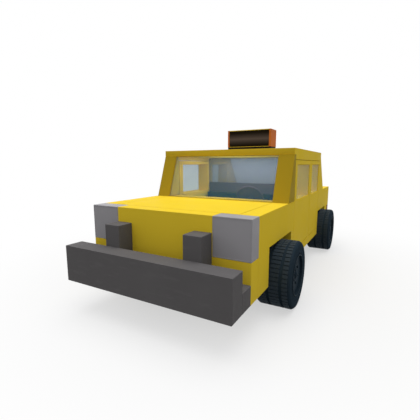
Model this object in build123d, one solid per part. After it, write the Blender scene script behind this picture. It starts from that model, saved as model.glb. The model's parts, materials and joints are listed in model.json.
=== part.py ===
from build123d import *
import os
from math import cos, hypot, radians, sin

# Taxi cab with a square-cut body on a ladder frame, sizes in millimetres.
# X runs across with the cab's left at +X, Y runs back from the nose, Z runs up from the road.

# Main box of the body
BODY_WIDTH = 1800.0
WALL = 180.0
BODY_BASE = 333.0
BELT = 1049.0
ROOF_TOP = 1657.0
ROOF_SLAB = 72.0
ROOF_RAIL = 55.0

# Wheels and steering
TYRE_RADIUS = 350.0
TYRE_WIDTH = 360.0
TYRE_SHOULDER = 14.0
RIM_RADIUS = 215.0
RIM_WALL = 12.0
TRACK = 1814.0
STEERED_GAP = 7.0
REAR_WHEEL_GAP = 10.0
ARCH_TOP_GAP = 15.0
FRONT_AXLE_Y = 847.0

# Panels met in turn from the front axle back to the tail
FENDER_TAIL = 90.4
SHUT_GAP = 7.0
FRONT_DOOR_FRAME = 88.0
FRONT_WINDOW = 722.0
DOOR_FRAME = 50.0
CENTRE_PILLAR = 44.0
REAR_WINDOW = 560.0
REAR_DOOR_FRAME = 52.0
QUARTER_STRIP = 35.0
SCREEN_PILLAR_TOP = 67.0
SCREEN_RAKE = 187.0
REAR_PILLAR_TOP = 80.0
REAR_RAKE = 371.0
DECK_LENGTH = 713.0
DOOR_HEAD = 46.5

# Doors and lids
DOOR_PIVOT_INSET = 12.0
FRONT_DOOR_BEVEL = 24.0
REAR_DOOR_BEVEL = 28.0
PIVOT_RADIUS = 6.0
PIVOT_LENGTH = 32.0
PIVOT_END_GAP = 3.0
RUNNING_CLEARANCE = 0.05
LID_THICKNESS = 36.0
LID_PIN_RADIUS = 8.0
LID_PIN_LENGTH = 32.0
GLASS = 8.0
GLASS_INSET = 6.0
SCREEN_GLASS = 14.0
SCREEN_INSET = 10.0

# Nose, tail and lamps
NOSE_DEPTH = 160.0
TAIL_DEPTH = 160.0
LAMP_WIDTH = 356.0
HEADLAMP_HEIGHT = 355.0
TAIL_LAMP_HEIGHT = 185.0

# Bumpers
BAR_DEPTH = 183.0
BAR_HEIGHT = 356.0
VALANCE_DEPTH = 175.0
VALANCE_HEIGHT = 176.0
GUARD_WIDTH = 179.0
GUARD_LAMP_GAP = 4.0
GUARD_HEIGHT = 395.0
TOW_BORE_RADIUS = 10.0
TOW_BORE_DEPTH = 80.0
TOW_BORE_X = 600.0

# Ladder frame, floor and inner walls
RAIL_SPACING = 680.0
RAIL_WIDTH = 80.0
RAIL_HEIGHT = 80.0
CROSS_MEMBER = 80.0
FLOOR = 20.0
SILL_HEIGHT = 107.0
SILL_UPSTAND = 24.0
FLOOR_HALF_GAP = 30.0
BULKHEAD = 40.0
COWL = 40.0
LINER = 12.0
FRONT_LINER_INNER = 560.0
REAR_LINER = 15.0
REAR_LINER_GAP = 7.0
AXLE_SLOT = 140.0
AXLE_SLOT_ROOM = 90.0

# Axles, knuckles and hubs
BEAM = 90.0
SADDLE = 5.0
FORK_EAR_RADIUS = 35.0
FORK_EAR = 30.0
FORK_WEB = 40.0
FORK_WEB_OFFSET = 117.0
KNUCKLE_RADIUS = 34.0
KNUCKLE_HEIGHT = 110.0
KNUCKLE_END_GAP = 0.3
KINGPIN_RADIUS = 14.0
SPINDLE_RADIUS = 22.0
SPINDLE_SHOULDER = 40.0
HUB_RADIUS = 55.0
HUB_INSET = 58.0
HUB_LENGTH = 75.0
HUB_COVER = 18.0
HUB_END_GAP = 4.0
HUB_FACE_GAP = 0.5
RIM_DISC = 20.0
RIM_DISC_INSET = 28.0
AXLE_TUBE_RADIUS = 45.0
DIFF_RADIUS = 105.0
DIFF_WIDTH = 220.0

# Engine
ENGINE_WIDTH = 660.0
ENGINE_LENGTH = 600.0
ENGINE_HOOD_GAP = 153.0
ENGINE_FROM_NOSE = 170.0

# Cabin
SEAT_SIDE_GAP = 15.0
RISER_HEIGHT = 160.0
CUSHION_HEIGHT = 140.0
CUSHION_DEPTH = 460.0
FRONT_BACK_DEPTH = 120.0
FRONT_BACK_HEIGHT = 247.0
REAR_BACK_DEPTH = 140.0
REAR_BACK_DROP = 8.7
RISER_INSET = 40.0
SEAT_GAP = 0.3
PARTITION = 12.0
PARTITION_GAP = 10.0
PARTITION_PANEL_RISE = 137.0
DASH_DEPTH = 90.0
DASH_HEIGHT = 150.0
DASH_DROP = 49.0
DASH_SIDE_GAP = 18.0

# Steering wheel, turned about a column that leans back
WHEEL_X = 287.0
WHEEL_REACH = 200.0
WHEEL_HEIGHT = 1020.0
WHEEL_RADIUS = 190.0
WHEEL_RIM = 14.0
WHEEL_DISH = 12.0
WHEEL_TILT = 20.0
WHEEL_HUB_RADIUS = 35.0
WHEEL_HUB = 40.0
COLUMN_RADIUS = 22.0
COLUMN_LENGTH = 130.0
COLUMN_PIN_RADIUS = 10.0
COLUMN_PIN = 32.0
COLUMN_GAP = 0.5

# Roof sign
SIGN_WIDTH = 684.0
SIGN_DEPTH = 256.0
SIGN_HEIGHT = 249.0
SIGN_BASE = 76.0
SIGN_BASE_INSET = 2.0
SIGN_Y_FROM_ROOF_FRONT = 849.0
SIGN_END = 28.0
SIGN_FACE = 12.0
SIGN_BORDER = 6.0

# Places worked out from the sizes above
HALF = BODY_WIDTH / 2
INNER = HALF - WALL
AXLE_Z = TYRE_RADIUS
WHEEL_MID = TRACK / 2
WHEEL_INNER = WHEEL_MID - TYRE_WIDTH / 2
SLAB_BASE = ROOF_TOP - ROOF_SLAB
RAIL_BASE = SLAB_BASE - ROOF_RAIL
FRONT_ARCH = hypot(TYRE_RADIUS, TYRE_WIDTH / 2) + STEERED_GAP
REAR_ARCH = TYRE_RADIUS + REAR_WHEEL_GAP
ARCH_TOP = 2 * TYRE_RADIUS + ARCH_TOP_GAP
FENDER_END = FRONT_AXLE_Y + FRONT_ARCH + FENDER_TAIL
FRONT_DOOR = FENDER_END + SHUT_GAP
FRONT_WINDOW_Y = FRONT_DOOR + FRONT_DOOR_FRAME
FRONT_DOOR_END = FRONT_WINDOW_Y + FRONT_WINDOW + DOOR_FRAME
PILLAR_Y = FRONT_DOOR_END + SHUT_GAP
PILLAR_END = PILLAR_Y + CENTRE_PILLAR
REAR_DOOR = PILLAR_END + SHUT_GAP
REAR_WINDOW_Y = REAR_DOOR + DOOR_FRAME
REAR_DOOR_END = REAR_WINDOW_Y + REAR_WINDOW + REAR_DOOR_FRAME
QUARTER_Y = REAR_DOOR_END + SHUT_GAP
REAR_AXLE_Y = QUARTER_Y + QUARTER_STRIP + REAR_ARCH
ROOF_FRONT = FENDER_END - SCREEN_PILLAR_TOP
SCREEN_BASE = ROOF_FRONT - SCREEN_RAKE
ROOF_REAR = QUARTER_Y + REAR_PILLAR_TOP
REAR_GLASS_BASE = ROOF_REAR + REAR_RAKE
BODY_LENGTH = REAR_GLASS_BASE + DECK_LENGTH
TAIL_WALL = BODY_LENGTH - TAIL_DEPTH
SILL_TOP = BODY_BASE + SILL_HEIGHT
DOOR_BASE = SILL_TOP + SHUT_GAP
DOOR_TOP = RAIL_BASE - SHUT_GAP
WINDOW_HEIGHT = DOOR_TOP - DOOR_HEAD - BELT
VALANCE_TOP = BODY_BASE + VALANCE_HEIGHT
RAIL_Z = AXLE_Z + BEAM / 2 + SADDLE
FLOOR_Z = RAIL_Z + RAIL_HEIGHT
FLOOR_TOP = FLOOR_Z + FLOOR
ENGINE_HEIGHT = BELT - LID_THICKNESS - ENGINE_HOOD_GAP - FLOOR_Z
GUARD_INNER = HALF - LAMP_WIDTH - GUARD_LAMP_GAP - GUARD_WIDTH
FLOOR_HALF = INNER - FLOOR_HALF_GAP
BULKHEAD_Y = FRONT_AXLE_Y + FRONT_ARCH + LINER
BULKHEAD_END = BULKHEAD_Y + BULKHEAD
REAR_WELL = min(INNER, WHEEL_INNER - REAR_LINER_GAP)
REAR_WELL_BACK = REAR_WELL - REAR_LINER
REAR_BULKHEAD_Y = REAR_GLASS_BASE - BULKHEAD
LID_RADIUS = LID_THICKNESS / 2
LID_Z = BELT - LID_RADIUS
HOOD_PIVOT_Y = SCREEN_BASE - SHUT_GAP - LID_RADIUS
BOOT_PIVOT_Y = REAR_GLASS_BASE + SHUT_GAP + LID_RADIUS
DOOR_PIVOT_X = HALF - DOOR_PIVOT_INSET
PARTITION_Y = PILLAR_Y - FRONT_DOOR_BEVEL + PARTITION_GAP
PARTITION_PANEL_TOP = BELT + PARTITION_PANEL_RISE
RISER_TOP = FLOOR_TOP + RISER_HEIGHT
CUSHION_TOP = RISER_TOP + SEAT_GAP + CUSHION_HEIGHT
REAR_BACK_HEIGHT = BELT - REAR_BACK_DROP - CUSHION_TOP
SEAT_HALF = INNER - SEAT_SIDE_GAP
FRONT_BACK_END = PARTITION_Y - SEAT_GAP
REAR_BACK_END = REAR_BULKHEAD_Y - SEAT_GAP
BUMPER_FRONT = -VALANCE_DEPTH - BAR_DEPTH
BUMPER_REAR = BODY_LENGTH + VALANCE_DEPTH
MID_LENGTH = (BUMPER_FRONT + BUMPER_REAR) / 2


def block(x0, x1, y0, y1, z0, z1):
    """Square block between two corners."""
    middle = Pos((x0 + x1) / 2, (y0 + y1) / 2, (z0 + z1) / 2)
    return middle * Box(x1 - x0, y1 - y0, z1 - z0)


def side_plate(outline, x0, x1):
    """Plate with a (y, z) outline, between two places across the cab."""
    face = make_face(Polyline(*outline, close=True))
    return extrude(Plane.YZ.offset(x0) * face, amount=x1 - x0)


def upright(outline, z0, z1):
    """Column with an (x, y) outline, between two heights."""
    face = make_face(Polyline(*outline, close=True))
    return extrude(Plane.XY.offset(z0) * face, amount=z1 - z0)


def post(x, y, z0, z1, radius):
    """Round post standing at x, y between two heights."""
    return Pos(x, y, (z0 + z1) / 2) * Cylinder(radius, z1 - z0)


def cross_pin(x0, x1, y, z, radius):
    """Round pin lying across the cab between two places."""
    return Pos((x0 + x1) / 2, y, z) * Rot(0, 90, 0) * Cylinder(radius, x1 - x0)


def other_side(shape):
    """The same piece on the cab's right."""
    return mirror(shape, about=Plane.YZ)


def both_sides(shape):
    """A left piece and its copy on the right, as two solids of one node."""
    return Compound([shape.solid(), other_side(shape).solid()])


def chassis_rails():
    """Long rails, one each side."""
    inner = (RAIL_SPACING - RAIL_WIDTH) / 2
    return both_sides(block(inner, inner + RAIL_WIDTH, NOSE_DEPTH, TAIL_WALL, RAIL_Z, FLOOR_Z))


def cross_members():
    """Cross members that tie the rails together."""
    inner = (RAIL_SPACING - RAIL_WIDTH) / 2
    starts = (NOSE_DEPTH, BULKHEAD_Y, PILLAR_Y, TAIL_WALL - CROSS_MEMBER)
    ties = [block(-inner, inner, y, y + CROSS_MEMBER, RAIL_Z, FLOOR_Z) for y in starts]
    return Compound([tie.solid() for tie in ties])


def floor_pan():
    """Floor plate from the front bulkhead to the tail, clear of the rear wheel liners."""
    plate = block(-FLOOR_HALF, FLOOR_HALF, BULKHEAD_Y, TAIL_WALL, FLOOR_Z, FLOOR_TOP)
    reach = REAR_ARCH + LINER
    well = block(REAR_WELL_BACK, HALF, REAR_AXLE_Y - reach, REAR_AXLE_Y + reach, FLOOR_Z, FLOOR_TOP)
    return plate - well - other_side(well)


def sills():
    """Sills under the doors, with an upstand that carries the floor and pins that carry the doors."""
    sill = block(FLOOR_HALF, HALF, FENDER_END, QUARTER_Y, BODY_BASE, SILL_TOP)
    sill += block(FLOOR_HALF, FLOOR_HALF + SILL_UPSTAND, FENDER_END, QUARTER_Y, SILL_TOP, FLOOR_TOP)
    for door in (FRONT_DOOR, REAR_DOOR):
        pivot_y = door + DOOR_PIVOT_INSET
        sill += post(DOOR_PIVOT_X, pivot_y, SILL_TOP, SILL_TOP + PIVOT_LENGTH, PIVOT_RADIUS)
    return both_sides(sill)


def front_bulkhead():
    """Wall between engine and cabin, with the cowl shelf that the windscreen stands on."""
    wall = block(-INNER, INNER, BULKHEAD_Y, BULKHEAD_END, FLOOR_TOP, BELT)
    return wall + block(-INNER, INNER, SCREEN_BASE, BULKHEAD_END, BELT - COWL, BELT)


def rear_bulkhead():
    """Wall between cabin and boot, narrower between the wheel liners."""
    low_half = REAR_WELL_BACK
    step = ARCH_TOP + LINER
    wall = block(-low_half, low_half, REAR_BULKHEAD_Y, REAR_GLASS_BASE, FLOOR_TOP, step)
    return wall + block(-INNER, INNER, REAR_BULKHEAD_Y, REAR_GLASS_BASE, step, BELT)


def front_fenders():
    """Front wings with square wheel arches and the pins that the hood turns on."""
    wing = block(INNER, HALF, NOSE_DEPTH, FENDER_END, BODY_BASE, BELT)
    front, rear = FRONT_AXLE_Y - FRONT_ARCH, FRONT_AXLE_Y + FRONT_ARCH
    wing -= block(INNER, HALF, front, rear, BODY_BASE, ARCH_TOP)
    wing += cross_pin(INNER - LID_PIN_LENGTH, INNER, HOOD_PIVOT_Y, LID_Z, LID_PIN_RADIUS)
    return both_sides(wing)


def rear_quarters():
    """Rear wings and rear roof pillars in one, with the pins that the boot lid turns on."""
    outline = [
        (QUARTER_Y, BODY_BASE),
        (TAIL_WALL, BODY_BASE),
        (TAIL_WALL, BELT),
        (REAR_GLASS_BASE, BELT),
        (ROOF_REAR, SLAB_BASE),
        (QUARTER_Y, SLAB_BASE),
    ]
    wing = side_plate(outline, INNER, HALF)
    front, rear = REAR_AXLE_Y - REAR_ARCH, REAR_AXLE_Y + REAR_ARCH
    wing -= block(INNER, HALF, front, rear, BODY_BASE, ARCH_TOP)
    jamb = [(INNER, QUARTER_Y), (HALF, QUARTER_Y), (INNER, QUARTER_Y - REAR_DOOR_BEVEL)]
    wing += upright(jamb, SILL_TOP, RAIL_BASE)
    wing += cross_pin(INNER - LID_PIN_LENGTH, INNER, BOOT_PIVOT_Y, LID_Z, LID_PIN_RADIUS)
    return both_sides(wing)


def front_panel():
    """Nose panel, cut at its upper corners for the headlamps."""
    lamp_x, lamp_z = HALF - LAMP_WIDTH, BELT - HEADLAMP_HEIGHT
    panel = block(-HALF, HALF, 0, NOSE_DEPTH, BODY_BASE, lamp_z)
    return panel + block(-lamp_x, lamp_x, 0, NOSE_DEPTH, lamp_z, BELT)


def headlamps():
    """Square headlamps that fill the nose's upper corners."""
    lamp = block(HALF - LAMP_WIDTH, HALF, 0, NOSE_DEPTH, BELT - HEADLAMP_HEIGHT, BELT)
    return both_sides(lamp)


def rear_panel():
    """Tail panel, cut at its sides for the tail lamps."""
    lamp_x, lamp_top = HALF - LAMP_WIDTH, VALANCE_TOP + TAIL_LAMP_HEIGHT
    panel = block(-HALF, HALF, TAIL_WALL, BODY_LENGTH, BODY_BASE, VALANCE_TOP)
    panel += block(-lamp_x, lamp_x, TAIL_WALL, BODY_LENGTH, VALANCE_TOP, lamp_top)
    return panel + block(-HALF, HALF, TAIL_WALL, BODY_LENGTH, lamp_top, BELT)


def tail_lamps():
    """Tail lamps above the rear bumper."""
    lamp_top = VALANCE_TOP + TAIL_LAMP_HEIGHT
    return both_sides(block(HALF - LAMP_WIDTH, HALF, TAIL_WALL, BODY_LENGTH, VALANCE_TOP, lamp_top))


def front_bumper_bar():
    """Deep bar across the front."""
    return block(-HALF, HALF, BUMPER_FRONT, -VALANCE_DEPTH, BODY_BASE, BODY_BASE + BAR_HEIGHT)


def front_valance():
    """Low block that carries the front bar on the nose."""
    return block(-HALF, HALF, -VALANCE_DEPTH, 0, BODY_BASE, VALANCE_TOP)


def bumper_guards():
    """Two guards that stand on the valance behind the bar."""
    outer = GUARD_INNER + GUARD_WIDTH
    guard = block(GUARD_INNER, outer, -VALANCE_DEPTH, 0, VALANCE_TOP, VALANCE_TOP + GUARD_HEIGHT)
    return both_sides(guard)


def rear_bumper():
    """Low rear bar with a socket for a screw-in towing eye."""
    bar = block(-HALF, HALF, BODY_LENGTH, BUMPER_REAR, BODY_BASE, VALANCE_TOP)
    height = (BODY_BASE + VALANCE_TOP) / 2
    socket = Pos(TOW_BORE_X, BUMPER_REAR - TOW_BORE_DEPTH / 2, height)
    return bar - socket * Rot(90, 0, 0) * Cylinder(TOW_BORE_RADIUS, TOW_BORE_DEPTH)


def windscreen_pillars():
    """Raked pillars each side of the windscreen."""
    outline = [
        (SCREEN_BASE, BELT),
        (FENDER_END, BELT),
        (FENDER_END, SLAB_BASE),
        (ROOF_FRONT, SLAB_BASE),
    ]
    return both_sides(side_plate(outline, INNER, HALF))


def raked_pane(base_y, top_y, inset, thickness):
    """Pane between belt and roof, set in from its raked plane by a signed amount."""
    outline = [
        (base_y + inset, BELT),
        (base_y + inset + thickness, BELT),
        (top_y + inset + thickness, SLAB_BASE),
        (top_y + inset, SLAB_BASE),
    ]
    return side_plate(outline, -INNER, INNER)


def windscreen_glass():
    """Windscreen between its pillars."""
    return raked_pane(SCREEN_BASE, ROOF_FRONT, SCREEN_INSET, SCREEN_GLASS)


def rear_glass():
    """Rear window between the rear pillars."""
    return raked_pane(REAR_GLASS_BASE, ROOF_REAR, -SCREEN_INSET - SCREEN_GLASS, SCREEN_GLASS)


def roof_panel():
    """Roof slab with side rails and the upper pins that the doors turn on."""
    roof = block(-HALF, HALF, ROOF_FRONT, ROOF_REAR, SLAB_BASE, ROOF_TOP)
    rail = block(INNER, HALF, FENDER_END, QUARTER_Y, RAIL_BASE, SLAB_BASE)
    for door in (FRONT_DOOR, REAR_DOOR):
        pivot_y = door + DOOR_PIVOT_INSET
        rail += post(DOOR_PIVOT_X, pivot_y, RAIL_BASE - PIVOT_LENGTH, RAIL_BASE, PIVOT_RADIUS)
    return roof + rail + other_side(rail)


def centre_pillars():
    """Posts between front and rear doors, slanted where the front door swings past."""
    outline = [
        (HALF, PILLAR_Y),
        (HALF, PILLAR_END),
        (INNER, PILLAR_END),
        (INNER, PILLAR_Y - FRONT_DOOR_BEVEL),
    ]
    return both_sides(upright(outline, SILL_TOP, RAIL_BASE))


def wheel_liner(axle_y, arch, back, well):
    """Left box behind a wheel arch, open to its wheel and slotted for its axle."""
    front, rear = axle_y - arch, axle_y + arch
    box = block(back, INNER, front - LINER, rear + LINER, BODY_BASE, ARCH_TOP + LINER)
    box -= block(well, HALF, front, rear, BODY_BASE, ARCH_TOP)
    slot = AXLE_SLOT / 2
    return box - block(back, well, axle_y - slot, axle_y + slot, BODY_BASE, AXLE_Z + AXLE_SLOT_ROOM)


def wheel_liners():
    """Boxes behind the front arches and plates behind the rear ones."""
    front_back = FRONT_LINER_INNER - LINER
    front = wheel_liner(FRONT_AXLE_Y, FRONT_ARCH, front_back, FRONT_LINER_INNER)
    rear = wheel_liner(REAR_AXLE_Y, REAR_ARCH, REAR_WELL_BACK, REAR_WELL)
    return Compound([box.solid() for box in (front, other_side(front), rear, other_side(rear))])


def door(start, end, bevel, window_y, window):
    """Left door with its window cut, its rear edge slanted and its front edge rounded about the pivot."""
    outline = [(INNER, start), (HALF, start), (HALF, end), (INNER, end - bevel)]
    leaf = upright(outline, DOOR_BASE, DOOR_TOP)
    front_edge = leaf.edges().filter_by(Axis.Z).group_by(Axis.Y)[0].sort_by(Axis.X)[-1]
    leaf = fillet(front_edge, radius=DOOR_PIVOT_INSET)
    leaf -= block(INNER, HALF, window_y, window_y + window, BELT, BELT + WINDOW_HEIGHT)
    pivot_y = start + DOOR_PIVOT_INSET
    depth = PIVOT_LENGTH - SHUT_GAP + PIVOT_END_GAP
    hole = PIVOT_RADIUS + RUNNING_CLEARANCE
    leaf -= post(DOOR_PIVOT_X, pivot_y, DOOR_BASE, DOOR_BASE + depth, hole)
    return leaf - post(DOOR_PIVOT_X, pivot_y, DOOR_TOP - depth, DOOR_TOP, hole)


def door_glass(window_y, window):
    """Left door's pane, near the outer skin."""
    outer = HALF - GLASS_INSET
    return block(outer - GLASS, outer, window_y, window_y + window, BELT, BELT + WINDOW_HEIGHT)


def lid(pivot_y, free_y):
    """Flat lid with a half-round edge about its pivot and a blind hole in each side for its pin."""
    top, bottom = BELT, BELT - LID_THICKNESS
    outward = LID_RADIUS if pivot_y > free_y else -LID_RADIUS
    sides = Polyline((pivot_y, top), (free_y, top), (free_y, bottom), (pivot_y, bottom))
    nose = ThreePointArc((pivot_y, bottom), (pivot_y + outward, LID_Z), (pivot_y, top))
    half = INNER - SHUT_GAP
    face = make_face(sides.edges() + nose.edges())
    plate = extrude(Plane.YZ.offset(-half) * face, amount=2 * half)
    depth = LID_PIN_LENGTH - SHUT_GAP + PIVOT_END_GAP
    hole = cross_pin(half - depth, half, pivot_y, LID_Z, LID_PIN_RADIUS + RUNNING_CLEARANCE)
    return plate - hole - other_side(hole)


def front_axle_beam():
    """Beam axle with a fork at each end for the kingpin and a saddle under each rail."""
    web_x = WHEEL_MID - FORK_WEB_OFFSET
    half = BEAM / 2
    rail_x = (RAIL_SPACING - RAIL_WIDTH) / 2
    y0, y1 = FRONT_AXLE_Y - half, FRONT_AXLE_Y + half
    beam = block(-web_x, web_x, y0, y1, AXLE_Z - half, AXLE_Z + half)
    boss = KNUCKLE_HEIGHT / 2
    ear_y = (FRONT_AXLE_Y - FORK_EAR_RADIUS, FRONT_AXLE_Y + FORK_EAR_RADIUS)
    end = block(web_x - FORK_WEB, web_x, y0, y1, AXLE_Z - boss - FORK_EAR, AXLE_Z + boss + FORK_EAR)
    for ear_z in (AXLE_Z + boss, AXLE_Z - boss - FORK_EAR):
        end += block(web_x, WHEEL_MID, *ear_y, ear_z, ear_z + FORK_EAR)
        end += post(WHEEL_MID, FRONT_AXLE_Y, ear_z, ear_z + FORK_EAR, FORK_EAR_RADIUS)
    hole_reach = boss + FORK_EAR
    hole = KINGPIN_RADIUS + RUNNING_CLEARANCE
    end -= post(WHEEL_MID, FRONT_AXLE_Y, AXLE_Z - hole_reach, AXLE_Z + hole_reach, hole)
    saddle = block(rail_x, rail_x + RAIL_WIDTH, y0, y1, AXLE_Z + half, RAIL_Z)
    return beam + end + other_side(end) + saddle + other_side(saddle)


def hub_face():
    """Place across the cab where a wheel's hub ends inboard."""
    return WHEEL_MID + TYRE_WIDTH / 2 - HUB_INSET - HUB_LENGTH


def spindle(y):
    """Left stub that a wheel runs on, with the shoulder behind its hub."""
    face = hub_face()
    tip = face + HUB_LENGTH - HUB_COVER - HUB_END_GAP
    stub = cross_pin(face - HUB_FACE_GAP, tip, y, AXLE_Z, SPINDLE_RADIUS)
    return stub, face - HUB_FACE_GAP


def knuckle():
    """Left knuckle: kingpin boss, kingpin and wheel spindle."""
    boss = KNUCKLE_HEIGHT / 2 - KNUCKLE_END_GAP
    pin = KNUCKLE_HEIGHT / 2 + FORK_EAR
    stub, shoulder = spindle(FRONT_AXLE_Y)
    body = post(WHEEL_MID, FRONT_AXLE_Y, AXLE_Z - boss, AXLE_Z + boss, KNUCKLE_RADIUS)
    body += post(WHEEL_MID, FRONT_AXLE_Y, AXLE_Z - pin, AXLE_Z + pin, KINGPIN_RADIUS)
    return body + cross_pin(WHEEL_MID, shoulder, FRONT_AXLE_Y, AXLE_Z, SPINDLE_SHOULDER) + stub


def rear_axle():
    """Rear axle tube with its final-drive housing, saddles under the rails and wheel spindles."""
    rail_x = (RAIL_SPACING - RAIL_WIDTH) / 2
    half = BEAM / 2
    stub, shoulder = spindle(REAR_AXLE_Y)
    axle = cross_pin(-shoulder, shoulder, REAR_AXLE_Y, AXLE_Z, AXLE_TUBE_RADIUS)
    axle += cross_pin(-DIFF_WIDTH / 2, DIFF_WIDTH / 2, REAR_AXLE_Y, AXLE_Z, DIFF_RADIUS)
    saddle = block(rail_x, rail_x + RAIL_WIDTH, REAR_AXLE_Y - half, REAR_AXLE_Y + half, AXLE_Z, RAIL_Z)
    return axle + stub + other_side(stub) + saddle + other_side(saddle)


def tyre(y):
    """Plain wide tyre on the left, with bevelled shoulders."""
    inner, outer = WHEEL_MID - TYRE_WIDTH / 2, WHEEL_MID + TYRE_WIDTH / 2
    ring = cross_pin(inner, outer, y, AXLE_Z, TYRE_RADIUS)
    ring = chamfer(ring.edges().filter_by(GeomType.CIRCLE), length=TYRE_SHOULDER)
    return ring - cross_pin(inner, outer, y, AXLE_Z, RIM_RADIUS)


def wheel_rim(y):
    """Deep disc wheel on the left, its hub bored for the spindle."""
    inner, outer = WHEEL_MID - TYRE_WIDTH / 2, WHEEL_MID + TYRE_WIDTH / 2
    face = hub_face()
    disc = outer - RIM_DISC_INSET
    rim = cross_pin(inner, outer, y, AXLE_Z, RIM_RADIUS)
    rim -= cross_pin(inner, outer, y, AXLE_Z, RIM_RADIUS - RIM_WALL)
    rim += cross_pin(disc - RIM_DISC, disc, y, AXLE_Z, RIM_RADIUS - RIM_WALL)
    rim += cross_pin(face, disc, y, AXLE_Z, HUB_RADIUS)
    bore = SPINDLE_RADIUS + RUNNING_CLEARANCE
    return rim - cross_pin(face, face + HUB_LENGTH - HUB_COVER, y, AXLE_Z, bore)


def engine_block():
    """Engine and gearbox as one plain block on the rails."""
    half = ENGINE_WIDTH / 2
    front = NOSE_DEPTH + ENGINE_FROM_NOSE
    return block(-half, half, front, front + ENGINE_LENGTH, FLOOR_Z, FLOOR_Z + ENGINE_HEIGHT)


def riser(back_front, half):
    """Box under a bench cushion."""
    front = back_front - CUSHION_DEPTH + RISER_INSET
    return block(RISER_INSET - half, half - RISER_INSET, front, back_front, FLOOR_TOP, RISER_TOP)


def cushion(back_front, half):
    """Bench cushion in front of a seat back."""
    base = RISER_TOP + SEAT_GAP
    return block(-half, half, back_front - CUSHION_DEPTH, back_front - SEAT_GAP, base, CUSHION_TOP)


def seat_back(end, depth, height, half):
    """Bench back, standing at the rear of its cushion."""
    return block(-half, half, end - depth, end, RISER_TOP + SEAT_GAP, CUSHION_TOP + height)


def partition_panel():
    """Closed lower part of the screen between driver and passengers, on the floor."""
    return block(-INNER, INNER, PARTITION_Y, PARTITION_Y + PARTITION, FLOOR_TOP, PARTITION_PANEL_TOP)


def partition_glass():
    """Clear upper part of that screen, from its panel to the roof."""
    return block(-INNER, INNER, PARTITION_Y, PARTITION_Y + PARTITION, PARTITION_PANEL_TOP, SLAB_BASE)


def column_plane():
    """Steering wheel's plane, facing the driver."""
    centre = (WHEEL_X, BULKHEAD_END + WHEEL_REACH, WHEEL_HEIGHT)
    return Plane(centre, x_dir=(1, 0, 0), z_dir=(0, cos(radians(WHEEL_TILT)), sin(radians(WHEEL_TILT))))


def along_column(start, end, radius):
    """Round length of the steering column, measured from the wheel's plane."""
    return column_plane() * Pos(0, 0, (start + end) / 2) * Cylinder(radius, end - start)


def steering_wheel():
    """Dished steering wheel with a round rim, bored for the column's pin."""
    back = -WHEEL_DISH / 2
    wheel = along_column(back, -back, WHEEL_RADIUS - WHEEL_RIM)
    ring = Cylinder(WHEEL_RADIUS, 2 * WHEEL_RIM)
    ring -= Cylinder(WHEEL_RADIUS - 2 * WHEEL_RIM, 2 * WHEEL_RIM)
    wheel += column_plane() * chamfer(ring.edges().filter_by(GeomType.CIRCLE), length=WHEEL_RIM / 2)
    wheel += along_column(back - WHEEL_HUB, back, WHEEL_HUB_RADIUS)
    depth = COLUMN_PIN + PIVOT_END_GAP
    hub_base = back - WHEEL_HUB
    return wheel - along_column(hub_base, hub_base + depth, COLUMN_PIN_RADIUS + RUNNING_CLEARANCE)


def column_bracket(base, top, length):
    """Post in the dashboard that holds the column's lower end, at whatever height that is."""
    root = WHEEL_HEIGHT - length * sin(radians(WHEEL_TILT))
    low, high = min(base, root - COLUMN_RADIUS), max(top, root + COLUMN_RADIUS)
    side = (WHEEL_X - COLUMN_RADIUS, WHEEL_X + COLUMN_RADIUS)
    return block(*side, BULKHEAD_END, BULKHEAD_END + DASH_DEPTH, low, high)


def dashboard():
    """Dashboard on the bulkhead, in one piece with the steering column's shroud."""
    half = INNER - DASH_SIDE_GAP
    top = BELT - DASH_DROP
    base = top - DASH_HEIGHT
    dash = block(-half, half, BULKHEAD_END, BULKHEAD_END + DASH_DEPTH, base, top)
    hub_base = -WHEEL_DISH / 2 - WHEEL_HUB - COLUMN_GAP
    dash += column_bracket(base, top, COLUMN_LENGTH - hub_base)
    dash += along_column(hub_base - COLUMN_LENGTH, hub_base, COLUMN_RADIUS)
    return dash + along_column(hub_base, hub_base + COLUMN_PIN, COLUMN_PIN_RADIUS)


def sign_box():
    """Sign's outer corners: half width, front, rear, base and top."""
    front = ROOF_FRONT + SIGN_Y_FROM_ROOF_FRONT
    base = ROOF_TOP + SIGN_BASE
    return SIGN_WIDTH / 2, front, front + SIGN_DEPTH, base, base + SIGN_HEIGHT


def roof_sign_base():
    """Dark foot under the roof sign."""
    half, front, rear, base, _ = sign_box()
    inset = SIGN_BASE_INSET
    return block(inset - half, half - inset, front + inset, rear - inset, ROOF_TOP, base)


def roof_sign_case():
    """Sign's lamp case, with a shallow pocket at front and rear for its faces."""
    half, front, rear, base, top = sign_box()
    case = block(-half, half, front, rear, base, top)
    face_half = half - SIGN_END
    low, high = base + SIGN_BORDER, top - SIGN_BORDER
    case -= block(-face_half, face_half, front, front + SIGN_FACE, low, high)
    return case - block(-face_half, face_half, rear - SIGN_FACE, rear, low, high)


def roof_sign_faces():
    """Blank sign faces at front and rear."""
    half, front, rear, base, top = sign_box()
    face_half = half - SIGN_END
    low, high = base + SIGN_BORDER, top - SIGN_BORDER
    faces = (
        block(-face_half, face_half, front, front + SIGN_FACE, low, high),
        block(-face_half, face_half, rear - SIGN_FACE, rear, low, high),
    )
    return Compound([face.solid() for face in faces])


def left_and_right(name, shape):
    """A left piece and its right copy as two named nodes."""
    return {name + "_left": shape, name + "_right": other_side(shape)}


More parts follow.
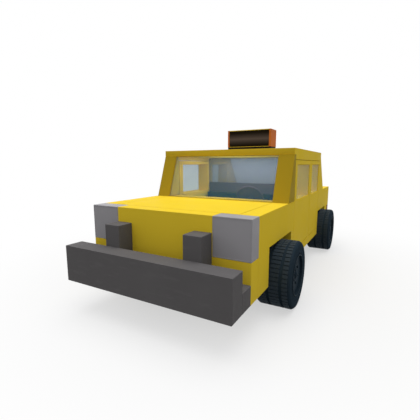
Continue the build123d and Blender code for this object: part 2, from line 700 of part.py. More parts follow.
def all_nodes():
    """Every piece of the cab by its node's name."""
    nodes = {
        piece.__name__: piece()
        for piece in (
            chassis_rails,
            cross_members,
            floor_pan,
            sills,
            front_bulkhead,
            rear_bulkhead,
            front_fenders,
            rear_quarters,
            front_panel,
            headlamps,
            rear_panel,
            tail_lamps,
            front_bumper_bar,
            front_valance,
            bumper_guards,
            rear_bumper,
            windscreen_pillars,
            windscreen_glass,
            rear_glass,
            roof_panel,
            centre_pillars,
            wheel_liners,
            front_axle_beam,
            rear_axle,
            engine_block,
            partition_panel,
            partition_glass,
            dashboard,
            steering_wheel,
            roof_sign_base,
            roof_sign_case,
            roof_sign_faces,
        )
    }
    # name, rear face, depth and height of the back, half width
    seats = (
        ("front_seat", FRONT_BACK_END, FRONT_BACK_DEPTH, FRONT_BACK_HEIGHT, SEAT_HALF),
        ("rear_seat", REAR_BACK_END, REAR_BACK_DEPTH, REAR_BACK_HEIGHT, REAR_WELL_BACK),
    )
    risers = []
    for name, end, depth, height, half in seats:
        nodes[name + "_cushion"] = cushion(end - depth, half)
        nodes[name + "_back"] = seat_back(end, depth, height, half)
        risers.append(riser(end - depth, half).solid())
    nodes["seat_risers"] = Compound(risers)
    nodes["hood"] = lid(HOOD_PIVOT_Y, NOSE_DEPTH + SHUT_GAP)
    nodes["boot_lid"] = lid(BOOT_PIVOT_Y, TAIL_WALL - SHUT_GAP)
    # name, front edge, rear edge, slant of the rear edge, window's front edge, window's length
    doors = (
        ("front_door", FRONT_DOOR, FRONT_DOOR_END, FRONT_DOOR_BEVEL, FRONT_WINDOW_Y, FRONT_WINDOW),
        ("rear_door", REAR_DOOR, REAR_DOOR_END, REAR_DOOR_BEVEL, REAR_WINDOW_Y, REAR_WINDOW),
    )
    for name, start, end, bevel, window_y, window in doors:
        nodes.update(left_and_right(name, door(start, end, bevel, window_y, window)))
        nodes.update(left_and_right(name + "_glass", door_glass(window_y, window)))
    for name, y in (("front", FRONT_AXLE_Y), ("rear", REAR_AXLE_Y)):
        nodes.update(left_and_right(name + "_tyre", tyre(y)))
        nodes.update(left_and_right(name + "_rim", wheel_rim(y)))
    nodes.update(left_and_right("knuckle", knuckle()))
    return nodes


os.makedirs("parts", exist_ok=True)
for node_name, node_shape in all_nodes().items():
    export_step(Pos(0, -MID_LENGTH, 0) * node_shape, f"parts/{node_name}.step")
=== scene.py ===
"""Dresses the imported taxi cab: paint, glass, rubber, trim, padded seats, light and camera."""

import json
import logging
from dataclasses import dataclass
from enum import Enum
from functools import cache
from math import cos, pi, radians, sin, tau
from typing import Any, Sequence

import bmesh
import bpy
import numpy as np
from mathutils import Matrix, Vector


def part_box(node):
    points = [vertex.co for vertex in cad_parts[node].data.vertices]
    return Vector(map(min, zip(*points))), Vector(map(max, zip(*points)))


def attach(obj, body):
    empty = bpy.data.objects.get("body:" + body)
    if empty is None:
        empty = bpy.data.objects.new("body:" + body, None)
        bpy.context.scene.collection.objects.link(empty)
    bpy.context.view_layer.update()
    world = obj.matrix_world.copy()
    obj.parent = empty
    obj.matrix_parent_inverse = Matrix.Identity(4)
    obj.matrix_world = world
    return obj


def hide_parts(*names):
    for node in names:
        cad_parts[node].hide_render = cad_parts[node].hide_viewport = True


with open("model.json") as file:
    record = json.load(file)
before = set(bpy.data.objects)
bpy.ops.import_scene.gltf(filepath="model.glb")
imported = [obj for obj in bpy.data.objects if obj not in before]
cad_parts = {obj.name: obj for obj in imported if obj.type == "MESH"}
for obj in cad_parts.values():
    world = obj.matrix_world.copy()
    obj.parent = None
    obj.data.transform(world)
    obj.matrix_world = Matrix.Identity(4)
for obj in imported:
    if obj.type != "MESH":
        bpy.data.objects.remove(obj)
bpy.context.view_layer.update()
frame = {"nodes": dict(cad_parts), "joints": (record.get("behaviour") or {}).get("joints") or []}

log = logging.getLogger("taxi_cab")

Colour = tuple[float, float, float]
Point = Sequence[float]
Piece = bpy.types.Object
Socket = bpy.types.NodeSocket
Inputs = dict[str | int, Any]

SMOOTH_ANGLE = radians(35)
ORIGIN = Vector((0, 0, 0))
ACROSS = Vector((1, 0, 0))
BACK = Vector((0, 1, 0))
UP = Vector((0, 0, 1))
FACING_SIDEWAYS = (0.0, pi / 2, 0.0)

# How far a laid piece is let into what carries it, and how far a small rib or strip is
LAP = 0.0005
ROOT = 0.001
# How near to a plane a point counts as on it
NEAR = 0.001


class Side(Enum):
    """Side of the cab, with its sign across."""

    LEFT = 1
    RIGHT = -1

    @property
    def word(self) -> str:
        """Word that ends the names of this side's nodes."""
        return self.name.lower()


class End(Enum):
    """End of the cab that a face looks to, with its sign along the cab."""

    FRONT = -1
    REAR = 1


class Axle(Enum):
    """Axle or row of doors, by the word that starts its nodes' names."""

    FRONT = "front"
    REAR = "rear"


class Layout(Enum):
    """Ways to set copies of one shape."""

    RING = "ring"
    ROW = "row"
    GRID = "grid"


class Slot(Enum):
    """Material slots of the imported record."""

    YELLOW_PAINT = "yellow_paint"
    # Slot of the darker paint that is painted shade on the windscreen pillars and the roof's front strip
    PILLAR_PAINT = "pillar_paint"
    BUMPER_GREY = "bumper_grey"
    LAMP_LENS = "lamp_lens"
    TAIL_LENS = "tail_lens"
    WINDOW_GLASS = "window_glass"
    TYRE_RUBBER = "tyre_rubber"
    WHEEL_PAINT = "wheel_paint"
    CHASSIS_BLACK = "chassis_black"
    AXLE_STEEL = "axle_steel"
    ENGINE_IRON = "engine_iron"
    SEAT_COVER = "seat_cover"
    CABIN_PLASTIC = "cabin_plastic"
    SIGN_BLACK = "sign_black"
    SIGN_ORANGE = "sign_orange"


CORNERS = tuple((row, side) for row in Axle for side in Side)


def corner_name(row: Axle, part: str, side: Side) -> str:
    """Name of a node or body that comes one to each corner."""
    return f"{row.value}_{part}_{side.word}"


class Nodes:
    """Node tree in the making."""

    def __init__(self, tree: bpy.types.NodeTree) -> None:
        """Starts with an empty tree."""
        self.tree = tree
        self.tree.nodes.clear()

    def node(self, kind: str, given: Inputs | None = None, **settings: Any) -> bpy.types.Node:
        """Adds a node.

        Args:
            kind: Node's type.
            given: Values or sockets for its inputs, by label or place.
            settings: Properties set on the node.

        Returns:
            The node.
        """
        made = self.tree.nodes.new(kind)
        for key, value in settings.items():
            setattr(made, key, value)
        self.feed(made, given or {})
        return made

    def feed(self, node: bpy.types.Node, given: Inputs) -> None:
        """Sets a node's inputs to values, or joins them to sockets.

        Args:
            node: Node to feed.
            given: Values or sockets for its inputs, by label or place.
        """
        for label, value in given.items():
            if isinstance(value, Socket):
                self.tree.links.new(value, node.inputs[label])
            else:
                node.inputs[label].default_value = value

    def maths(self, operation: str, first: Socket, second: Socket) -> Socket:
        """One value worked out from two."""
        return self.node("ShaderNodeMath", {0: first, 1: second}, operation=operation).outputs[0]

    def spread(
        self, value: Socket, start: float, end: float, low: float, high: float, **settings: Any
    ) -> Socket:
        """Maps values from start to end onto low to high, held at both ends."""
        given = {"Value": value, "From Min": start, "From Max": end, "To Min": low, "To Max": high}
        return self.node("ShaderNodeMapRange", given, **settings).outputs[0]


class Graph(Nodes):
    """Node graph of one material, with its shader and output in place."""

    # Radians of phase that a wave texture turns through in a metre, at a scale of 1
    WAVE_PHASE = 20.0
    # Span of noise that a roughness is spread over
    ROUGH_SPAN = 0.4

    def __init__(self, name: str, roughness: float, gloss: float) -> None:
        """Starts the material.

        Args:
            name: Material's name.
            roughness: Roughness where nothing varies it.
            gloss: Specular level.
        """
        self.material = bpy.data.materials.new(name)
        self.material.use_nodes = True
        super().__init__(self.material.node_tree)
        given = {"Roughness": roughness, "Specular IOR Level": gloss}
        self.shader = self.node("ShaderNodeBsdfPrincipled", given)
        self.node("ShaderNodeOutputMaterial", {"Surface": self.shader.outputs["BSDF"]})
        self.place = self.node("ShaderNodeTexCoord").outputs["Object"]

    def shade(self, given: Inputs) -> None:
        """Sets or joins the shader's inputs."""
        self.feed(self.shader, given)

    def noise(self, scale: float, detail: float = 2.0, stretch: Point = (1, 1, 1)) -> Socket:
        """Noise from 0 to 1, with about scale lumps to a metre and a factor on that along each axis."""
        place = self.node("ShaderNodeMapping", {"Vector": self.place, "Scale": stretch}).outputs["Vector"]
        return self.node("ShaderNodeTexNoise", {"Vector": place, "Scale": scale, "Detail": detail}).outputs[0]

    def bands(self, period: float, direction: str) -> Socket:
        """Even waves from 0 to 1 along an axis, with a period in metres."""
        given = {"Vector": self.place, "Scale": tau / self.WAVE_PHASE / period}
        return self.node("ShaderNodeTexWave", given, bands_direction=direction).outputs[1]

    def times(self, first: Socket, second: Socket) -> Socket:
        """Product of two values."""
        return self.maths("MULTIPLY", first, second)

    def mix(self, share: Socket, first: Colour | Socket, second: Colour | Socket) -> Socket:
        """Mixes two colours by the second one's share."""
        start, end = ((*part, 1.0) if isinstance(part, tuple) else part for part in (first, second))
        return self.node("ShaderNodeMix", {0: share, 6: start, 7: end}, data_type="RGBA").outputs[2]

    def mottled(self, colour: Colour, low: float, high: float, scale: float, detail: float = 2.0) -> Socket:
        """A colour that noise varies between two factors of itself."""
        return self.mix(self.noise(scale, detail), shaded(colour, low), shaded(colour, high))

    def height(self) -> Socket:
        """Height above the road in metres."""
        return self.node("ShaderNodeSeparateXYZ", {0: self.place}).outputs["Z"]

    def rubbed(self, base: Socket, worn: Colour, reach: float, patches: Socket) -> Socket:
        """A colour with its outer edges rubbed in patches.

        Args:
            base: Colour of the flats.
            worn: Colour of a rubbed edge.
            reach: How far the rubbing reaches from an edge, in metres.
            patches: Share that is rubbed, over the piece.

        Returns:
            Colour socket.
        """
        bevel = self.node("ShaderNodeBevel", {"Radius": reach}, samples=4)
        true = self.node("ShaderNodeNewGeometry")
        normals = {0: bevel.outputs[0], 1: true.outputs["Normal"]}
        dot = self.node("ShaderNodeVectorMath", normals, operation="DOT_PRODUCT")
        edges = self.spread(dot.outputs["Value"], 0.98, 0.80, 0.0, 1.0)
        return self.mix(self.times(edges, patches), base, worn)

    def roughen(self, low: float, high: float, scale: float, detail: float = 2.0, start: float = 0.3) -> None:
        """Varies the roughness by noise, from low at the start of its span to high at its end."""
        end = start + self.ROUGH_SPAN
        self.shade({"Roughness": self.spread(self.noise(scale, detail), start, end, low, high)})

    def bump(self, value: Socket, strength: float, depth: float) -> None:
        """Raises the surface by a value, over any earlier bump.

        Args:
            value: Height socket.
            strength: Share of the bump.
            depth: Height of a full bump in metres.
        """
        made = self.node("ShaderNodeBump", {"Strength": strength, "Distance": depth, "Height": value})
        normal = self.shader.inputs["Normal"]
        if normal.is_linked:
            self.feed(made, {"Normal": normal.links[0].from_socket})
        self.shade({"Normal": made.outputs["Normal"]})


def shaded(colour: Colour, factor: float) -> Colour:
    """A colour made darker or lighter by a factor."""
    return (colour[0] * factor, colour[1] * factor, colour[2] * factor)


@dataclass(frozen=True)
class Finish:
    """Finish with its slot, a colour in linear light, a roughness and a specular level."""

    name: str
    slot: Slot
    colour: Colour
    rough: float = 0.5
    gloss: float = 0.2

    @cache
    def material(self) -> bpy.types.Material:
        """Makes the finish's material when it is first asked for.

        Returns:
            The material.
        """
        graph = Graph(f"{self.name}_finish", self.rough, self.gloss)
        self.draw(graph)
        return graph.material

    def draw(self, graph: Graph) -> None:
        """Draws the finish's nodes."""
        graph.shade({"Base Color": graph.mottled(self.colour, 0.95, 1.03, 3.0)})


@dataclass(frozen=True)
class BodyPaint(Finish):
    """Sprayed paint with a slight peel, road dust low down and worn edges."""

    dust: Colour = (0.34, 0.25, 0.13)
    dust_foot: float = 0.34
    dust_top: float = 0.80
    dust_share: float = 0.16
    worn: Colour = (0.62, 0.50, 0.24)
    worn_reach: float = 0.004

    def draw(self, graph: Graph) -> None:
        """Draws fade, dust, chipped edges and peel.

        Args:
            graph: Material's graph.
        """
        fade = graph.mottled(self.colour, 0.96, 1.02, 1.4, 3.0)
        low = graph.spread(graph.height(), self.dust_foot, self.dust_top, self.dust_share, 0.0)
        dusty = graph.mix(graph.times(low, graph.noise(9.0, 4.0)), fade, self.dust)
        chips = graph.spread(graph.noise(70.0, 3.0), 0.52, 0.66, 0.0, 0.6)
        graph.shade({"Base Color": graph.rubbed(dusty, self.worn, self.worn_reach, chips)})
        graph.roughen(self.rough - 0.06, self.rough + 0.08, 5.0, 4.0)
        graph.bump(graph.noise(650.0, 1.0), 0.05, 0.0004)


@dataclass(frozen=True)
class MouldedPlastic(Finish):
    """Grained plastic with scuffs along its edges."""

    grain: float = 420.0
    depth: float = 0.0006
    scuff_reach: float = 0.006

    def draw(self, graph: Graph) -> None:
        """Draws mottle, scuffs and grain.

        Args:
            graph: Material's graph.
        """
        mottle = graph.mottled(self.colour, 0.90, 1.08, 4.0, 4.0)
        streaks = graph.spread(graph.noise(30.0, 3.0, (0.2, 1.0, 1.0)), 0.56, 0.72, 0.0, 0.35)
        scuffed = graph.mix(streaks, mottle, shaded(self.colour, 1.25))
        rubs = graph.spread(graph.noise(55.0, 2.0), 0.45, 0.65, 0.0, 0.5)
        graph.shade({"Base Color": graph.rubbed(scuffed, shaded(self.colour, 1.7), self.scuff_reach, rubs)})
        graph.roughen(self.rough - 0.06, self.rough + 0.06, 8.0)
        graph.bump(graph.noise(self.grain, 2.0), 0.35, self.depth)


@dataclass(frozen=True)
class TyreRubber(Finish):
    """Dark rubber with a dusty bloom."""

    def draw(self, graph: Graph) -> None:
        """Draws bloom and a fine moulded skin.

        Args:
            graph: Material's graph.
        """
        bloom = graph.spread(graph.noise(14.0, 4.0), 0.45, 0.75, 0.0, 0.5)
        graph.shade({"Base Color": graph.mix(bloom, self.colour, shaded(self.colour, 1.3))})
        graph.roughen(self.rough - 0.08, self.rough + 0.04, 40.0)
        graph.bump(graph.noise(900.0, 1.0), 0.2, 0.0004)


@dataclass(frozen=True)
class WindowGlass(Finish):
    """Tinted pane, seen through, with a faint film of dust."""

    cover: float = 0.24
    bending: float = 1.5

    def draw(self, graph: Graph) -> None:
        """Draws tint, film and waviness.

        Args:
            graph: Material's graph.
        """
        film = graph.spread(graph.noise(6.0, 5.0), 0.4, 0.8, 0.0, 0.25)
        tint = graph.mix(film, self.colour, shaded(self.colour, 1.12))
        graph.shade({"Alpha": self.cover, "IOR": self.bending, "Base Color": tint})
        graph.roughen(self.rough, self.rough + 0.05, 11.0, 3.0, start=0.35)
        graph.bump(graph.noise(3.0, 0.0), 0.02, 0.002)


@dataclass(frozen=True)
class FlutedLens(Finish):
    """Moulded lamp lens with fine upright flutes."""

    pitch: float = 0.012

    def draw(self, graph: Graph) -> None:
        """Draws flutes with painted shade in their hollows, faint cross ribs and haze.

        Args:
            graph: Material's graph.
        """
        flutes = graph.bands(self.pitch, "X")
        haze = graph.mottled(self.colour, 0.95, 1.05, 7.0, 4.0)
        # Painted shade: the colour is darkened in the flutes' hollows
        flute_shade = graph.spread(flutes, 0.0, 0.25, 0.12, 0.0)
        graph.shade({"Base Color": graph.mix(flute_shade, haze, shaded(self.colour, 0.8))})
        graph.roughen(self.rough - 0.05, self.rough + 0.08, 12.0)
        graph.bump(flutes, 0.15, 0.001)
        graph.bump(graph.bands(self.pitch * 5, "Z"), 0.08, 0.001)


@dataclass(frozen=True)
class RoughMetal(Finish):
    """Cast or black-painted metal with a gritty skin."""

    metal: float = 0.0
    grit: float = 240.0
    rub_reach: float = 0.003

    def draw(self, graph: Graph) -> None:
        """Draws patches, rubbed edges and grit.

        Args:
            graph: Material's graph.
        """
        patches = graph.mottled(self.colour, 0.82, 1.15, 11.0, 5.0)
        rubs = graph.spread(graph.noise(60.0, 2.0), 0.45, 0.70, 0.0, 0.6)
        worn = graph.rubbed(patches, shaded(self.colour, 2.2), self.rub_reach, rubs)
        graph.shade({"Metallic": self.metal, "Base Color": worn})
        graph.roughen(self.rough - 0.08, self.rough + 0.08, 20.0, 3.0)
        graph.bump(graph.noise(self.grit, 3.0), 0.3, 0.0007)


@dataclass(frozen=True)
class WovenCover(Finish):
    """Woven cloth with crossing yarns and a soft sheen."""

    yarn: float = 0.004

    def draw(self, graph: Graph) -> None:
        """Draws yarns each way with painted shade between them, slub and sheen.

        Args:
            graph: Material's graph.
        """
        weave = graph.times(graph.bands(self.yarn, "X"), graph.bands(self.yarn, "DIAGONAL"))
        slub = graph.mottled(self.colour, 0.80, 1.25, 35.0, 4.0)
        # Painted shade: the colour is darkened where the yarns dip
        cloth = graph.mix(graph.spread(weave, 0.0, 0.5, 0.35, 0.0), slub, shaded(self.colour, 0.5))
        graph.shade({"Sheen Weight": 0.06, "Sheen Roughness": 0.5, "Base Color": cloth})
        graph.bump(weave, 0.35, 0.0008)
        graph.bump(graph.noise(24.0, 3.0), 0.12, 0.003)


@dataclass(frozen=True)
class LitFace(Finish):
    """Dark sign face, with the faint warmth of a lamp tube along its middle."""

    glow: Colour = (0.070, 0.050, 0.038)
    tube_height: float = 1.849
    tube_reach: float = 0.088

    def draw(self, graph: Graph) -> None:
        """Draws mottle and a warm band that fades above and below the tube.

        Args:
            graph: Material's graph.
        """
        top, foot = self.tube_height + self.tube_reach, self.tube_height - self.tube_reach
        under = graph.spread(graph.height(), self.tube_height, top, 1.0, 0.0)
        over = graph.spread(graph.height(), foot, self.tube_height, 0.0, 1.0)
        near = graph.times(under, over)
        fall = graph.times(near, graph.spread(near, 0.0, 1.0, 0.6, 1.0))
        band = graph.times(fall, graph.spread(graph.noise(3.0), 0.2, 0.8, 0.8, 1.0))
        warmth = graph.mix(band, (0.0, 0.0, 0.0), self.glow)
        mottle = graph.mottled(self.colour, 0.9, 1.15, 18.0, 3.0)
        graph.shade({"Base Color": mottle, "Emission Color": warmth, "Emission Strength": 1.0})
        graph.bump(graph.noise(300.0), 0.08, 0.0005)


YELLOW = BodyPaint("yellow_paint", Slot.YELLOW_PAINT, (0.96, 0.69, 0.042), 0.48, 0.005)
# Darker copy of the yellow paint: painted shade on the windscreen pillars and the windscreen's bead
PILLAR_PAINTED_SHADE = BodyPaint("pillar_paint", Slot.PILLAR_PAINT, (0.47, 0.325, 0.021), 0.52, 0.01)
# Darker copy of the yellow paint: painted shade on the strip over the roof's front face
HEADER_PAINTED_SHADE = BodyPaint("header_paint", Slot.PILLAR_PAINT, (0.66, 0.475, 0.032), 0.50, 0.008)
BUMPER_GREY = MouldedPlastic("bumper_plastic", Slot.BUMPER_GREY, (0.140, 0.134, 0.136), 0.62, 0.03)
LAMP_GREY = FlutedLens("headlamp_lens", Slot.LAMP_LENS, (0.405, 0.395, 0.415), 0.40, 0.06)
TAIL_RED = FlutedLens("tail_lamp_lens", Slot.TAIL_LENS, (0.22, 0.030, 0.012), 0.45, 0.02)
GLASS = WindowGlass("window_glass", Slot.WINDOW_GLASS, (0.10, 0.25, 0.41), 0.04, 0.01)
DOOR_GLASS = WindowGlass("door_pane", Slot.WINDOW_GLASS, (0.17, 0.40, 0.43), 0.04, 0.01)
PARTITION_GLASS = WindowGlass(
    "partition_pane", Slot.WINDOW_GLASS, (0.205, 0.225, 0.310), 0.12, 0.01, cover=0.50
)
TREAD = TyreRubber("tread_rubber", Slot.TYRE_RUBBER, (0.031, 0.045, 0.059), 0.72, 0.12)
TYRE = TyreRubber("tyre_rubber", Slot.TYRE_RUBBER, (0.022, 0.036, 0.050), 0.88, 0.01)
WHEEL_DARK = RoughMetal("wheel_paint", Slot.WHEEL_PAINT, (0.018, 0.031, 0.043), 0.60, 0.02)
CHASSIS_BLACK = RoughMetal("chassis_paint", Slot.CHASSIS_BLACK, (0.020, 0.020, 0.022), 0.70, 0.08)
AXLE_STEEL = RoughMetal("axle_steel", Slot.AXLE_STEEL, (0.085, 0.085, 0.09), 0.55, 0.20, metal=0.4)
ENGINE_IRON = RoughMetal("engine_iron", Slot.ENGINE_IRON, (0.11, 0.11, 0.115), 0.55, 0.20, metal=0.3)
SEAT_CLOTH = WovenCover("seat_cloth", Slot.SEAT_COVER, (0.013, 0.012, 0.015), 0.88, 0.01)
HEADLINER = WovenCover("roof_lining", Slot.SEAT_COVER, (0.75, 0.60, 0.045), 0.92, 0.01, yarn=0.003)
PARTITION_GREY = MouldedPlastic(
    "partition_plastic", Slot.CABIN_PLASTIC, (0.122, 0.096, 0.118), 0.62, 0.02, grain=520.0, depth=0.0004
)
CABIN_PLASTIC = MouldedPlastic(
    "cabin_plastic", Slot.CABIN_PLASTIC, (0.055, 0.065, 0.078), 0.60, 0.05, grain=700.0, depth=0.0004
)
WHEEL_PLASTIC = MouldedPlastic(
    "steering_plastic", Slot.CABIN_PLASTIC, (0.175, 0.122, 0.185), 0.60, 0.03, grain=700.0, depth=0.0004
)
DOOR_VINYL = MouldedPlastic(
    "door_vinyl", Slot.YELLOW_PAINT, (0.76, 0.61, 0.042), 0.64, 0.01, grain=520.0, depth=0.0005
)
TRIM_PLASTIC = MouldedPlastic(
    "dark_trim", Slot.CABIN_PLASTIC, (0.085, 0.095, 0.105), 0.64, 0.05, grain=520.0, depth=0.0005
)
SEAL_RUBBER = TyreRubber("seal_rubber", Slot.CABIN_PLASTIC, (0.020, 0.020, 0.021), 0.75, 0.06)
MAT_RUBBER = FlutedLens("floor_mat_rubber", Slot.TYRE_RUBBER, (0.040, 0.042, 0.046), 0.80, 0.05, pitch=0.020)
SIGN_BLACK = LitFace("sign_face", Slot.SIGN_BLACK, (0.012, 0.009, 0.006), 0.55, 0.02)
SIGN_FOOT = MouldedPlastic("sign_foot", Slot.SIGN_BLACK, (0.014, 0.014, 0.014), 0.6, 0.08)
SIGN_ORANGE = MouldedPlastic(
    "sign_case", Slot.SIGN_ORANGE, (0.54, 0.162, 0.041), 0.45, 0.02, grain=300.0, depth=0.0002
)
SIGN_LINE = BodyPaint("sign_border", Slot.YELLOW_PAINT, (0.80, 0.62, 0.06), 0.5, 0.1)
GAUGE_PALE = Finish("gauge_face", Slot.CABIN_PLASTIC, (0.30, 0.31, 0.30), 0.4, 0.05)


class Mould:
    """Mesh in the making, in metres in the cab's frame."""

    def __init__(self) -> None:
        """Starts with no faces."""
        self.mesh = bmesh.new()

    def block(self, first: Point, second: Point, edge: float = 0.0, steps: int = 2) -> "Mould":
        """Adds a block with rounded edges.

        Args:
            first: One corner.
            second: Corner across from it.
            edge: Radius of its edges.
            steps: Facets round an edge.

        Returns:
            This mould.
        """
        low, high = (Vector([pick(pair) for pair in zip(first, second)]) for pick in (min, max))
        middle, span = (low + high) / 2, high - low
        corners = bmesh.ops.create_cube(self.mesh, size=1.0)["verts"]
        for corner in corners:
            corner.co = middle + Vector([part * size for part, size in zip(corner.co, span)])
        if edge > 0:
            self._round({rim for corner in corners for rim in corner.link_edges}, edge, steps)
        return self

    def turned(
        self, profile: Sequence[Point], steps: int, centre: Point = ORIGIN, closed: bool = False
    ) -> "Mould":
        """Adds a shape turned about a line across the cab, with its ends closed.

        Args:
            profile: Points as (place across, radius).
            steps: Facets round it.
            centre: Point on the line.
            closed: Whether the profile is a loop, as a tyre's is.

        Returns:
            This mould.
        """
        hub = Vector(centre)
        rings = [
            [self.mesh.verts.new(hub + Vector((x, r * cos(turn), r * sin(turn)))) for x, r in profile]
            for turn in (tau * step / steps for step in range(steps))
        ]
        count = len(profile)
        for step in range(steps):
            here, following = rings[step], rings[(step + 1) % steps]
            for index in range(count if closed else count - 1):
                after = (index + 1) % count
                self.mesh.faces.new((here[index], here[after], following[after], following[index]))
        if not closed:
            self.mesh.faces.new([ring[0] for ring in rings])
            self.mesh.faces.new([ring[-1] for ring in reversed(rings)])
        return self

    def collar(self, corners: Sequence[Point], width: float, out: Point, low: float, high: float) -> "Mould":
        """Adds a flat collar inside four corners.

        Args:
            corners: Corners in order round the opening.
            width: Collar's width inwards.
            out: Way that it stands out.
            low: Where it starts along that way.
            high: Where it ends along that way.

        Returns:
            This mould.
        """
        rim = [Vector(corner) for corner in corners]
        inner = []
        for index, corner in enumerate(rim):
            before = (rim[index - 1] - corner).normalized()
            after = (rim[(index + 1) % 4] - corner).normalized()
            inner.append(corner + (before + after) * width)
        way = Vector(out).normalized()
        base, top, inner_base, inner_top = (
            [self.mesh.verts.new(corner + way * depth) for corner in ring]
            for ring in (rim, inner)
            for depth in (low, high)
        )
        for index in range(4):
            after = (index + 1) % 4
            for first, second in ((base, top), (top, inner_top), (inner_top, inner_base), (inner_base, base)):
                self.mesh.faces.new((first[index], first[after], second[after], second[index]))
        return self

    def plate(self, corners: Sequence[Point], out: Point, edge: float) -> "Mould":
        """Adds a flat plate with rounded edges.

        Args:
            corners: Corners of one face, in order.
            out: Way and thickness from that face to the other.
            edge: Radius of its edges.

        Returns:
            This mould.
        """
        near = [self.mesh.verts.new(Vector(corner)) for corner in corners]
        far = [self.mesh.verts.new(Vector(corner) + Vector(out)) for corner in corners]
        count = len(near)
        faces = [self.mesh.faces.new(near), self.mesh.faces.new(list(reversed(far)))]
        for index in range(count):
            after = (index + 1) % count
            faces.append(self.mesh.faces.new((near[index], far[index], far[after], near[after])))
        bmesh.ops.recalc_face_normals(self.mesh, faces=faces)
        self._round({rim for made in faces for rim in made.edges}, edge, steps=2)
        return self

    def _round(self, rims: set[bmesh.types.BMEdge], edge: float, steps: int) -> None:
        """Rounds some of the edges.

        Args:
            rims: Edges to round.
            edge: Their radius.
            steps: Facets round an edge.
        """
        sizes = {"offset": edge, "segments": steps, "profile": 0.5}
        bmesh.ops.bevel(self.mesh, geom=list(rims), affect="EDGES", clamp_overlap=True, **sizes)

    def laid(self, x: Vector, y: Vector, z: Vector, place: Point = ORIGIN) -> "Mould":
        """Turns and moves the whole mould.

        Args:
            x: Where its line across the cab points afterwards.
            y: Where its line along the cab points afterwards.
            z: Where its upright line points afterwards.
            place: Where its origin lies afterwards.

        Returns:
            This mould.
        """
        for vert in self.mesh.verts:
            vert.co = Vector(place) + x * vert.co.x + y * vert.co.y + z * vert.co.z
        return self

    def piece(self, name: str, finish: Finish) -> Piece:
        """Turns the mould into an object.

        Args:
            name: Object's name.
            finish: Finish on all its faces.

        Returns:
            The object, at the origin.
        """
        bmesh.ops.remove_doubles(self.mesh, verts=self.mesh.verts, dist=1e-6)
        bmesh.ops.recalc_face_normals(self.mesh, faces=self.mesh.faces)
        mesh = bpy.data.meshes.new(name)
        self.mesh.to_mesh(mesh)
        self.mesh.free()
        return shown(name, mesh, finish)

    def fit(self, name: str, finish: Finish, body: str = "body", slot: Slot | None = None) -> Piece:
        """Turns the mould into a piece on its body."""
        return settle(self.piece(name, finish), body)


def linked(name: str, data: bpy.types.ID) -> Piece:
    """Adds an object to the scene.

    Args:
        name: Object's name.
        data: Its mesh, light or camera.

    Returns:
        The object.
    """
    made = bpy.data.objects.new(name, data)
    bpy.context.scene.collection.objects.link(made)
    return made


def coat(mesh: bpy.types.Mesh, finish: Finish) -> None:
    """Gives a mesh its finish and smooth faces.

    Args:
        mesh: Mesh to coat.
        finish: Finish on all its faces.
    """
    mesh.materials.clear()
    mesh.materials.append(finish.material())
    mesh.polygons.foreach_set("use_smooth", [True] * len(mesh.polygons))


def shown(name: str, mesh: bpy.types.Mesh, finish: Finish) -> Piece:
    """Links a mesh to the scene as an object with smooth faces and sharp edges.

    Args:
        name: Object's name.
        mesh: Its mesh.
        finish: Finish on all its faces.

    Returns:
        The object.
    """
    coat(mesh, finish)
    mesh.set_sharp_from_angle(angle=SMOOTH_ANGLE)
    return linked(name, mesh)


def settle(piece: Piece, body: str = "body") -> Piece:
    """Sets a piece on its body and logs it.

    Args:
        piece: Object in its place.
        body: Body that it moves with.

    Returns:
        The piece.
    """
    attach(piece, body)
    log.info("%s rides on %s", piece.name, body)
    return piece


def dress(node: str, finish: Finish, edge: float = 0.0) -> None:
    """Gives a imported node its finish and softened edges.

    Args:
        node: Node's name.
        finish: Its finish.
        edge: Radius of its edges, none at 0.
    """
    piece = frame["nodes"][node]
    for holder in piece.material_slots:
        holder.material = finish.material()
    if edge <= 0:
        return
    weld = piece.modifiers.new("join_corners", "WELD")
    weld.merge_threshold = 1e-5
    bevel = piece.modifiers.new("soften_edges", "BEVEL")
    bevel.width = edge
    bevel.segments = 2
    bevel.limit_method = "ANGLE"
    bevel.angle_limit = SMOOTH_ANGLE
    normals = piece.modifiers.new("flat_faces", "WEIGHTED_NORMAL")
    normals.keep_sharp = False


def baked(holder: Piece) -> bpy.types.Mesh:
    """Plain mesh of an object with its modifiers, which are then removed.

    Args:
        holder: Object with modifiers.

    Returns:
        New mesh.
    """
    bpy.context.view_layer.update()
    graph = bpy.context.evaluated_depsgraph_get()
    mesh = bpy.data.meshes.new_from_object(holder.evaluated_get(graph))
    holder.modifiers.clear()
    return mesh


